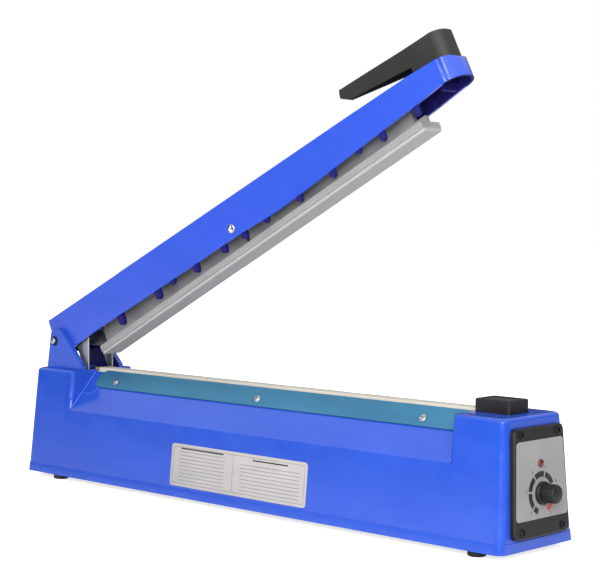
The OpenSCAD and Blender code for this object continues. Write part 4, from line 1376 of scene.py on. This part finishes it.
@dataclass
class Hinge:
    """Pin, washers, bracket and the lift springs behind the seal bed."""

    pin_radius: float = 2.6
    ear_out: float = 24.0
    hook: Point = (52.1, 74.0)
    anchor: Point = (106.0, 70.0)
    spring_y: float = 16.2
    coil_radius: float = 2.5
    coil_start: float = 6.5
    coil_end: float = 10.0
    coil_pitch: float = 2.0
    eye: float = 3.05
    wire: float = 0.9

    def pin(self) -> None:
        """Turns the pin with its domed heads, and its washers."""
        r = self.pin_radius
        made = Shape("hinge_pin_turned", PLACES.base)
        ring = Shape("hinge_washers", PLACES.base)
        for side in (-1, 1):
            at = facing((PLACES.pivot_x, side * self.ear_out, PLACES.pivot_z), (0, side, 0))
            made.lathe([(0, -8), (r, -8), (r, 1.1), (2.7, 1.1), (2.7, 2.0), (2.4, 2.45), (1.8, 2.68),
                        (0, 2.7)], at, 40)
            ring.lathe([(2.72, 0.05), (4.4, 0.05), (4.4, 0.85), (4.2, 1.05), (2.72, 1.05), (2.72, 0.05)],
                       at, 40)
        across = facing((PLACES.pivot_x, 0, PLACES.pivot_z), (0, 1, 0))
        made.lathe([(0, -16), (r, -16), (r, 16), (0, 16)], across, 40)
        made.done("base", "screws", ZINC, replaces=["hinge_pin"])
        ring.done("base", "black_fastener", BLACK_OXIDE, replaces=["pin_washers"])

    def springs(self) -> None:
        """Winds the two lift springs with their hooks."""
        coil = Coil()
        hx, hz = self.hook
        run = Vector((self.anchor[0] - hx, 0, self.anchor[1] - hz))
        ahead = run.normalized()
        up = Vector((0, 0, 1))
        length = run.length - self.coil_start - self.coil_end
        parts = []
        for side in (-1, 1):
            start = Vector((hx, side * self.spring_y, hz))
            at = PLACES.base @ facing(start + ahead * self.coil_start, ahead)
            parts.append(coil.wind(f"lift_coil_{side}", at, length / self.coil_pitch, self.coil_radius,
                                   length, self.wire, SPRING_WIRE))
        dress(together("lift_spring_coils", parts), "base", "spring_steel", SPRING_WIRE)
        hooks = Shape("lift_spring_hooks", PLACES.base)
        for side in (-1, 1):
            start = Vector((hx, side * self.spring_y, hz))
            end = start + run
            bend = [start + Vector((x, -side * y, 0)) for x, y in ((0, 3.5), (0, 1.2), (0.6, 0.2))]
            bend += [start + ahead * (self.coil_start + d) + up * z
                     for d, z in ((2 - self.coil_start, 0), (-1, 0), (0, 0.8), (0.4, 2.5))]
            hooks.sweep(bend, self.wire)
            tail = [end - ahead * d + up * z for d, z in ((10.2, 2.5), (9.6, 0.6), (8, 0), (4.2, 0))]
            loop = [end + ahead * x + up * z for x, z in arc((0, 0), self.eye, 180, -324, 18)]
            hooks.sweep(tail + loop, self.wire)
        hooks.done("base", "spring_steel", SPRING_WIRE, replaces=["lift_springs"])

    def build(self) -> None:
        """Builds and dresses the hinge."""
        self.pin()
        self.springs()
        coat("spring_anchor", ZINC)
        bracket = Shape("hinge_bracket_pressed", PLACES.base).carry("hinge_bracket").soften(0.35)
        bracket.done("arm", "sheet_steel", SHEET_ZINC, replaces=["hinge_bracket"])


@dataclass
class LeverArm:
    """The blue channel arm, its cross screw and the charcoal handle."""

    half_rear: float = 18.8
    half_nose: float = 15.0
    taper: float = 515.0
    length: float = 521.0
    top: tuple[Point, ...] = ((-8.0, 23.2), (407.0, 11.6), (479.0, 9.0), (512.0, 6.5), (521.0, 1.5))
    cross: Point = (256.4, -9.4)
    cross_radius: float = 1.6
    bar_travel: float = 10.8
    spring_u: Point = (120.0, 400.0)
    spring_low: float = -8.2
    spring_turns: int = 4
    spring_radius: float = 3.0
    spring_wire: float = 0.7
    nose: float = 15.0
    handle_back: float = 2.6
    handle_round: float = 10.5

    def top_at(self, u: float) -> float:
        """Height of the arm's top above the hinge axis."""
        for (a, za), (b, zb) in zip(self.top, self.top[1:]):
            if u <= b:
                return za + (zb - za) * (u - a) / (b - a)
        return self.top[-1][1]

    def half_at(self, u: float) -> float:
        """Half width of the arm."""
        return self.half_rear - (self.half_rear - self.half_nose) * u / self.taper

    def shell(self) -> None:
        """Cuts off a spare tab, paints shade in dark navy inside the channel and rounds the edges."""
        made = Shape("arm_moulding", PLACES.arm).carry("arm_shell")
        tab = [(470, 11.2), (479, 11.2), (479, 14.4), (470, 14.4)]
        spare = Shape("spare_tab", PLACES.arm).prism(tab, -26, -14.55)
        made = Shape("arm_moulding", PLACES.arm).carry(cut(made, spare))

        def inner(p: Vector, n: Vector) -> bool:
            """Whether a face lies inside the channel."""
            half = self.half_at(p.x)
            bend = self.length - self.nose
            from_bend = math.hypot(p.x - bend, p.y)
            if abs(n.z) < 0.5 and abs(p.y) > half - 0.35:
                return False
            if p.z > self.top_at(p.x) - 0.9 or p.x < -7.2:
                return False
            if n.z < -0.6 and (from_bend > 12.5 if p.x >= bend else abs(p.y) > half - 2.4):
                return False
            outside = abs(n.y) > 0.2 and n.y * p.y > 0 and abs(p.y) > half - 0.6
            nose = p.x > bend - 0.5 and from_bend > 14
            return not outside and not nose

        # Slot 1 is dark navy that paints the shade inside the channel.
        made.paint(1, inner)
        made.soften(0.5, None, 2, 40)
        # The arm's outer blue is a lighter copy of the base blue that paints the brighter light on the arm.
        made.done("arm", "base_plastic", ARM_BLUE_PAINTED_LIGHTER, BLUE_PAINTED_SHADE, replaces=["arm_shell"], even=True)

    def cross_screw(self) -> None:
        """Turns the cross screw's shank and heads."""
        u, v = self.cross
        reach, r = self.half_at(u), self.cross_radius
        made = Shape("cross_screw_shank", PLACES.arm)
        made.lathe([(0, -reach), (r, -reach), (r, reach), (0, reach)], facing((u, 0, v), (0, 1, 0)), 32)
        made.done("arm", "screws", ZINC, replaces=["cross_screw"])
        head = ScrewHead(3.9, 1.5).shape("cross_head")
        out = PLACES.arm.to_3x3() @ Vector((0, 1, 0))
        spots = [(PLACES.arm @ Vector((u, s * (reach + 0.05), v)), s * out) for s in (-1, 1)]
        heads = Scatter().place("cross_screw_heads", head, spots, ZINC, seed=8, turn=1.0)
        dress(heads, "arm", "screws", ZINC)

    def springs(self) -> None:
        """Winds the pressure bar's two springs at one length."""
        coil = Coil()
        low = self.spring_low
        for u in self.spring_u:
            high = self.top_at(u + 5) - 2.5
            at = PLACES.arm @ Matrix.Translation((u, 0, low + self.spring_wire))
            made = coil.wind(f"bar_coil_{u:.0f}", at, self.spring_turns, self.spring_radius,
                             high - low - 2 * self.spring_wire, self.spring_wire, SPRING_WIRE)
            dress(made, "arm", "spring_steel", SPRING_WIRE, replaces=["bar_springs"])
            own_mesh(made)

    def handle(self) -> None:
        """Cuts the handle from its side view and its plan, hollows it from below, paints shade in near-black
        on its underside and inner faces, and rounds it.
        """
        n = self.length
        upper = ((121, 34.7), (118.7, 41.1), (91, 38.0), (72, 35.7), (44, 32.3), (18, 29.6), (10, 29.0),
                 (5, 28.5), (2.8, 28.2))
        lower = ((40, 16.1), (61, 19.8), (81, 23.4), (112, 28.7))
        side = [(n - u, v) for u, v in upper]
        side += [(n - u, self.top_at(n - u) + 0.1) for u in (3.2, 9.0, 15.0, 28.0, 40.0)]
        side += [(n - u, v) for u, v in lower]
        turned = PLACES.arm @ Matrix(((1, 0, 0, 0), (0, 0, -1, 0), (0, 1, 0, 0), (0, 0, 0, 1)))
        body = Shape("handle_moulding", turned).prism(side, -20, 20)
        r = self.handle_round
        plan = arc((n - 119.4, 0), 1.6, 90, 180, 8)
        for cy, start in ((-1.5, -90), (0.5, 0)):
            plan += arc((n - self.handle_back - r, cy), r, start, 90, 10)
        tool = Shape("handle_plan", PLACES.arm).prism(plan, -10, 60)
        made = Shape("handle_moulding", PLACES.arm).carry(cut(body, tool, "INTERSECT"))
        cavity = ((114, 10), (42, 2), (42, 29.3), (72, 33.0), (91, 35.3), (114, 37.8))
        hollow = [(n - u, v) for u, v in cavity]
        width = [(n - 113, -0.4), (n - 42, -7.4), (n - 42, 7.4), (n - 113, 0.4)]
        core = Shape("handle_core", PLACES.arm)
        core.carry(cut(Shape("handle_core", turned).prism(hollow, -20, 20),
                       Shape("core_plan", PLACES.arm).prism(width, -10, 60), "INTERSECT"))
        made = Shape("handle_moulding", PLACES.arm).carry(cut(made, core))
        # Slot 1 is near-black that paints the shade on down-facing and inward faces.
        made.paint(1, lambda p, n: n.z < -0.3 or n.y * p.y < -0.01)
        made.soften(1.2, lambda p, d: p.z > self.top_at(p.x) + 1.5, 3, 30)
        made.done("arm", "panel_plastic", CHARCOAL, CHARCOAL_PAINTED_SHADE, replaces=["handle"], even=True)

    def build(self) -> None:
        """Builds and dresses the arm."""
        self.shell()
        self.cross_screw()
        self.springs()
        self.handle()
        coat("handle_screws", ZINC)


@dataclass
class PressureBar:
    """Floating aluminium bar and its silicone strip."""

    def build(self) -> None:
        """Eases the edges of the bar and of the strip."""
        bar = Shape("pressure_bar_extrusion", PLACES.arm).carry("pressure_bar")
        foot = min((PLACES.arm.inverted() @ v.co).z for v in bar.mesh.verts)
        bar.soften(0.18, lambda p, d: p.z > foot + 1, 2)
        bar.done("bar", "aluminium", ALUMINIUM, replaces=["pressure_bar"], even=True)
        strip = Shape("silicone_strip_extrusion", PLACES.arm).carry("silicone_strip")
        strip.soften(0.12, lambda p, d: p.z < foot - 1, 2)
        strip.done("bar", "silicone", SILICONE, replaces=["silicone_strip"], even=True)


@dataclass
class PressButton:
    """The button that the closing arm presses, and its spring."""

    spot: tuple[float, float, float] = (520.3, 0, 75.4)
    travel: float = 3.7
    free: float = 30.0
    turns: int = 5
    coil_radius: float = 6.0
    wire: float = 0.7

    def build(self) -> None:
        """Rounds the button's edges and winds its spring at one length."""
        made = Shape("press_button_cap", PLACES.base).carry("push_button")
        made.soften(0.5, lambda p, d: p.z > 101, 2)
        made.done("button", "panel_plastic", JET, replaces=["push_button"], even=True)
        seat = PLACES.base @ Matrix.Translation(self.spot) @ Matrix.Translation((0, 0, self.wire))
        coil = Coil().wind("button_spring_coil", seat, self.turns, self.coil_radius,
                           self.free - 2 * self.wire, self.wire, SPRING_WIRE)
        dress(coil, "base", "spring_steel", SPRING_WIRE, replaces=["button_spring"])
        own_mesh(coil)
        coat("micro_switch", JET)


@dataclass
class TimerPanel:
    """Front panel with its printed dial, knob, lamp and screws."""

    out: float = 4.6
    knob_z: float = 31.0
    lamp_z: float = 52.5
    lens_radius: float = 3.0
    dial: Point = (11.6, 15.8)
    marks: tuple[float, ...] = (252.0, 224.0, 173.0, 124.0, 73.0, 22.0, -28.0, -66.0)
    gap: float = 6.0
    digit: float = 3.6
    red_shift: float = 8.0
    print_t: float = 0.03
    grip: float = 6.35
    ribs: int = 20
    screws_at: tuple[Point, ...] = ((-24, 5), (24, 5), (-22, 74.11), (22, 74.11))

    def face(self) -> Matrix:
        """Frame of the label: x across, y up, z out of the panel."""
        return PLACES.panel @ Matrix(((0, 0, 1, 0), (1, 0, 0, 0), (0, 1, 0, 0), (0, 0, 0, 1)))

    def frame_piece(self) -> None:
        """Eases the frame's edges."""
        made = Shape("panel_frame_moulding", PLACES.panel).carry("panel_frame").soften(0.35, None, 2, 30)
        made.done("base", "panel_plastic", JET, replaces=["panel_frame"], even=True)
        coat("panel_label", FILM)

    def print_dial(self) -> None:
        """Prints the dial's segments and its digits."""
        at = self.face()
        top = self.out + 0.02
        dark = Shape("dial_segments", at)
        red = Shape("dial_red_segment", at)
        last = len(self.marks) - 1
        for i in range(last):
            start = self.marks[i] - self.gap / 2
            turn = self.marks[i + 1] + self.gap / 2 - start
            inner, outer = (arc((0, self.knob_z), r, start, turn, 12) for r in self.dial)
            (red if i == last - 1 else dark).prism(inner + outer[::-1], top - self.print_t, top)
        dark.done("base", "label", INK)
        red.done("base", "label", INK_RED)
        reach = self.dial[1] + 3.0
        for i, mark in enumerate(self.marks):
            t = math.radians(mark + (self.red_shift if i == last else 0))
            self.digit_piece(str(i + 1), reach * math.cos(t), self.knob_z + reach * math.sin(t),
                             INK_RED if i == last else INK)

    def digit_piece(self, sign: str, x: float, y: float, ink: Finish) -> None:
        """Prints one digit of the dial.

        Args:
            sign: The digit.
            x: Its middle across.
            y: Its middle up.
            ink: Its ink.
        """
        text = bpy.data.curves.new("digit", "FONT")
        text.body = sign
        text.size = self.digit * MM
        text.align_x = "CENTER"
        text.align_y = "CENTER"
        text.extrude = 0.01 * MM
        made = settled(linked("digit", text), f"dial_digit_{sign}")
        made.data.transform(in_metres(self.face() @ Matrix.Translation((x, y, self.out + 0.01))))
        dress(made, "base", "label", ink)

    def knob(self) -> None:
        """Turns the knob and stands the ribs of its grip round it."""
        at = facing((0, 0, self.knob_z), (1, 0, 0))
        made = Shape("timer_knob_ribbed", PLACES.panel)
        z0 = self.out + 0.3
        profile = ((0, -14), (3, -14), (3, 0), (8.2, 0), (8.5, 0.3), (8.5, 2.2), (8.0, 2.9), (6.7, 3.2),
                   (6.3, 13.0), (5.9, 13.7), (5.2, 14.0), (0, 14.0))
        made.lathe([(r, z0 + z) for r, z in profile], at)
        made.done("knob", "panel_plastic", JET, replaces=["timer_knob"])
        rib = Shape("rib").prism(rounded_box(-0.3, -0.45, 0.45, 0.45, 0.2, 3), 0.0, 9.6, chamfer=0.25)
        ahead = PLACES.panel.to_3x3() @ (at.to_3x3() @ Vector((0, 0, 1)))
        ring = arc((0, 0), self.grip, 0, 360, self.ribs)[:-1]
        spots = [(PLACES.panel @ (at @ Vector((x, y, z0 + 3.3))), ahead) for x, y in ring]
        ribs = Scatter().place("timer_knob_ribs", rib.bare(), spots, JET, seed=2)
        dress(ribs, "knob", "panel_plastic", JET)
        line = Shape("knob_pointer", PLACES.panel)
        line.prism([(-0.5, 1.5), (0.5, 1.5), (0.5, 5.4), (-0.5, 5.4)], z0 + 14.0, z0 + 14.04, at)
        line.done("knob", "panel_plastic", CHARCOAL)

    def build(self) -> None:
        """Builds and dresses the panel."""
        self.frame_piece()
        self.print_dial()
        self.knob()
        ahead = PLACES.panel.to_3x3() @ Vector((1, 0, 0))
        spots = [(PLACES.panel @ Vector((self.out + 0.02, y, z)), ahead) for y, z in self.screws_at]
        head = ScrewHead(2.9, 1.4).shape("panel_head")
        heads = Scatter().place("panel_screw_heads", head, spots, BLACK_OXIDE, seed=4)
        dress(heads, "base", "black_fastener", BLACK_OXIDE, replaces=["panel_screws"])
        lens = Shape("lamp_lens", PLACES.panel)
        r = self.lens_radius
        dome = [(r * x, self.out + 0.4 + 1.3 * y) for x, y in arc((0, 0), 1, 0, 84, 7)]
        ahead = facing((0, 0, self.lamp_z), (1, 0, 0))
        lens.lathe([(0, -5), (r, -5)] + dome + [(0, self.out + 1.7)], ahead, 32)
        lens.done("base", "lamp_red", LAMP_RED, replaces=["lamp"])


@dataclass
class Works:
    """Transformer, timer board and potentiometer inside the base."""

    def build(self) -> None:
        """Dresses what stays hidden."""
        coat("transformer_core", LAMINATIONS)
        coat("transformer_coil", WINDING)
        coat("timer_board", BOARD)
        coat("timer_pot", SHEET_ZINC)


# ---------- studio ----------


@dataclass
class Studio:
    """Pale floor, soft light and the camera."""

    eye: tuple[float, float, float] = (0.9752, -0.9681, 0.2491)
    ahead: tuple[float, float, float] = (-0.69790, 0.71441, -0.05059)
    up: tuple[float, float, float] = (-0.03673, 0.03485, 0.99872)
    focal_px: float = 1658.0
    image: tuple[int, int] = (600, 585)
    sensor: float = 36.0
    horizon: float = 0.0
    zenith: float = 1.0
    glow: float = 0.7
    floor: tuple[tuple[float, float, float], ...] = ((-4, -3, 0), (2, -3, 0), (2, 4, 0), (-4, 4, 0))
    arm_front: tuple[float, float, float] = (0.2, -0.01, 0.335)

    def camera(self) -> None:
        """Stands the camera."""
        data = bpy.data.cameras.new("camera")
        data.sensor_width = self.sensor
        data.lens = self.focal_px * self.sensor / max(self.image)
        data.clip_start, data.clip_end = 0.05, 30
        made = linked("camera", data)
        ahead, up = Vector(self.ahead), Vector(self.up)
        right = ahead.cross(up).normalized()
        up = right.cross(ahead).normalized()
        turn = Matrix((right, up, -ahead)).transposed().to_4x4()
        made.matrix_world = Matrix.Translation(self.eye) @ turn
        bpy.context.scene.camera = made

    def lamp(self, name: str, spot: Sequence[float], aim: Sequence[float], size: Sequence[float],
             power: float) -> None:
        """Hangs a soft lamp.

        Args:
            name: Its name.
            spot: Where it hangs, in metres.
            aim: What it looks at.
            size: Its width and height.
            power: Its power in watts.
        """
        data = bpy.data.lights.new(name, "AREA")
        data.shape = "RECTANGLE"
        data.size, data.size_y = size
        data.energy = power
        turn = (Vector(aim) - Vector(spot)).to_track_quat("-Z", "Y").to_matrix().to_4x4()
        linked(name, data).matrix_world = Matrix.Translation(spot) @ turn

    def surroundings(self) -> None:
        """Makes the world and the floor: white to the eye, soft grey light on the part."""
        world = bpy.data.worlds.new("studio")
        bpy.context.scene.world = world
        world.use_nodes = True
        tree = world.node_tree
        tree.nodes.clear()
        seen = add(tree, "ShaderNodeLightPath")
        either = add(tree, "ShaderNodeMath", {"operation": "MAXIMUM"}, i0=seen.outputs["Is Camera Ray"],
                     i1=seen.outputs["Is Transmission Ray"])
        toward = add(tree, "ShaderNodeTexCoord")
        height = add(tree, "ShaderNodeSeparateXYZ", None, Vector=toward.outputs["Generated"])
        sky = add(tree, "ShaderNodeMapRange", {"interpolation_type": "SMOOTHSTEP"}, Value=height.outputs["Z"],
                  From_Min=0.02, From_Max=0.75, To_Min=self.horizon, To_Max=self.zenith)
        light = add(tree, "ShaderNodeBackground", None, Color=(1, 1, 1, 1), Strength=sky.outputs["Result"])
        white = add(tree, "ShaderNodeBackground", None, Color=(1, 1, 1, 1), Strength=1.0)
        mixed = add(tree, "ShaderNodeMixShader", None, i0=either.outputs[0], i1=light.outputs[0],
                    i2=white.outputs[0])
        add(tree, "ShaderNodeOutputWorld", None, Surface=mixed.outputs[0])
        data = bpy.data.meshes.new("floor")
        data.from_pydata(self.floor, [], [(0, 1, 2, 3)])
        data.materials.append(self.floor_paper())
        linked("floor", data)

    def floor_paper(self) -> bpy.types.Material:
        """Pale paper that looks white away from the part and keeps its shadow.

        Returns:
            The material.
        """
        on = Surface("pale_floor_paper", "#F4F4F4", Roughness=0.9, Specular_IOR_Level=0.1)
        seen = add(on.tree, "ShaderNodeLightPath")
        own = add(on.tree, "ShaderNodeMath", {"operation": "MULTIPLY"}, i0=seen.outputs["Is Camera Ray"],
                  i1=self.glow)
        shone = add(on.tree, "ShaderNodeEmission", None, Color=(1, 1, 1, 1), Strength=own.outputs[0])
        mixed = add(on.tree, "ShaderNodeAddShader", None, i0=on.shader.outputs[0], i1=shone.outputs[0])
        out = next(n for n in on.tree.nodes if n.type == "OUTPUT_MATERIAL")
        on.tree.links.new(mixed.outputs[0], out.inputs["Surface"])
        return on.made

    def build(self) -> None:
        """Sets up the studio."""
        bpy.context.scene.view_settings.view_transform = "Standard"
        self.camera()
        self.surroundings()
        self.lamp("key", (1.1, -1.1, 0.7), (0.1, 0, 0.2), (0.8, 0.8), 27)
        self.lamp("strip_left", (-0.48, -1.65, 0.73), self.arm_front, (0.04, 0.5), 3)
        self.lamp("strip_right", (0.31, -1.65, 1.12), self.arm_front, (0.05, 0.5), 4)


def main() -> None:
    """Builds the sealer's sub-assemblies in order, then the studio."""
    logging.basicConfig(level=logging.INFO, format="%(name)s: %(message)s")
    for part in (BaseMoulding, SealBed, Hinge, LeverArm, PressureBar, PressButton, TimerPanel, Works, Studio):
        part().build()
        LOG.info("built %s", part.__name__)


if __name__ == "__main__":
    main()
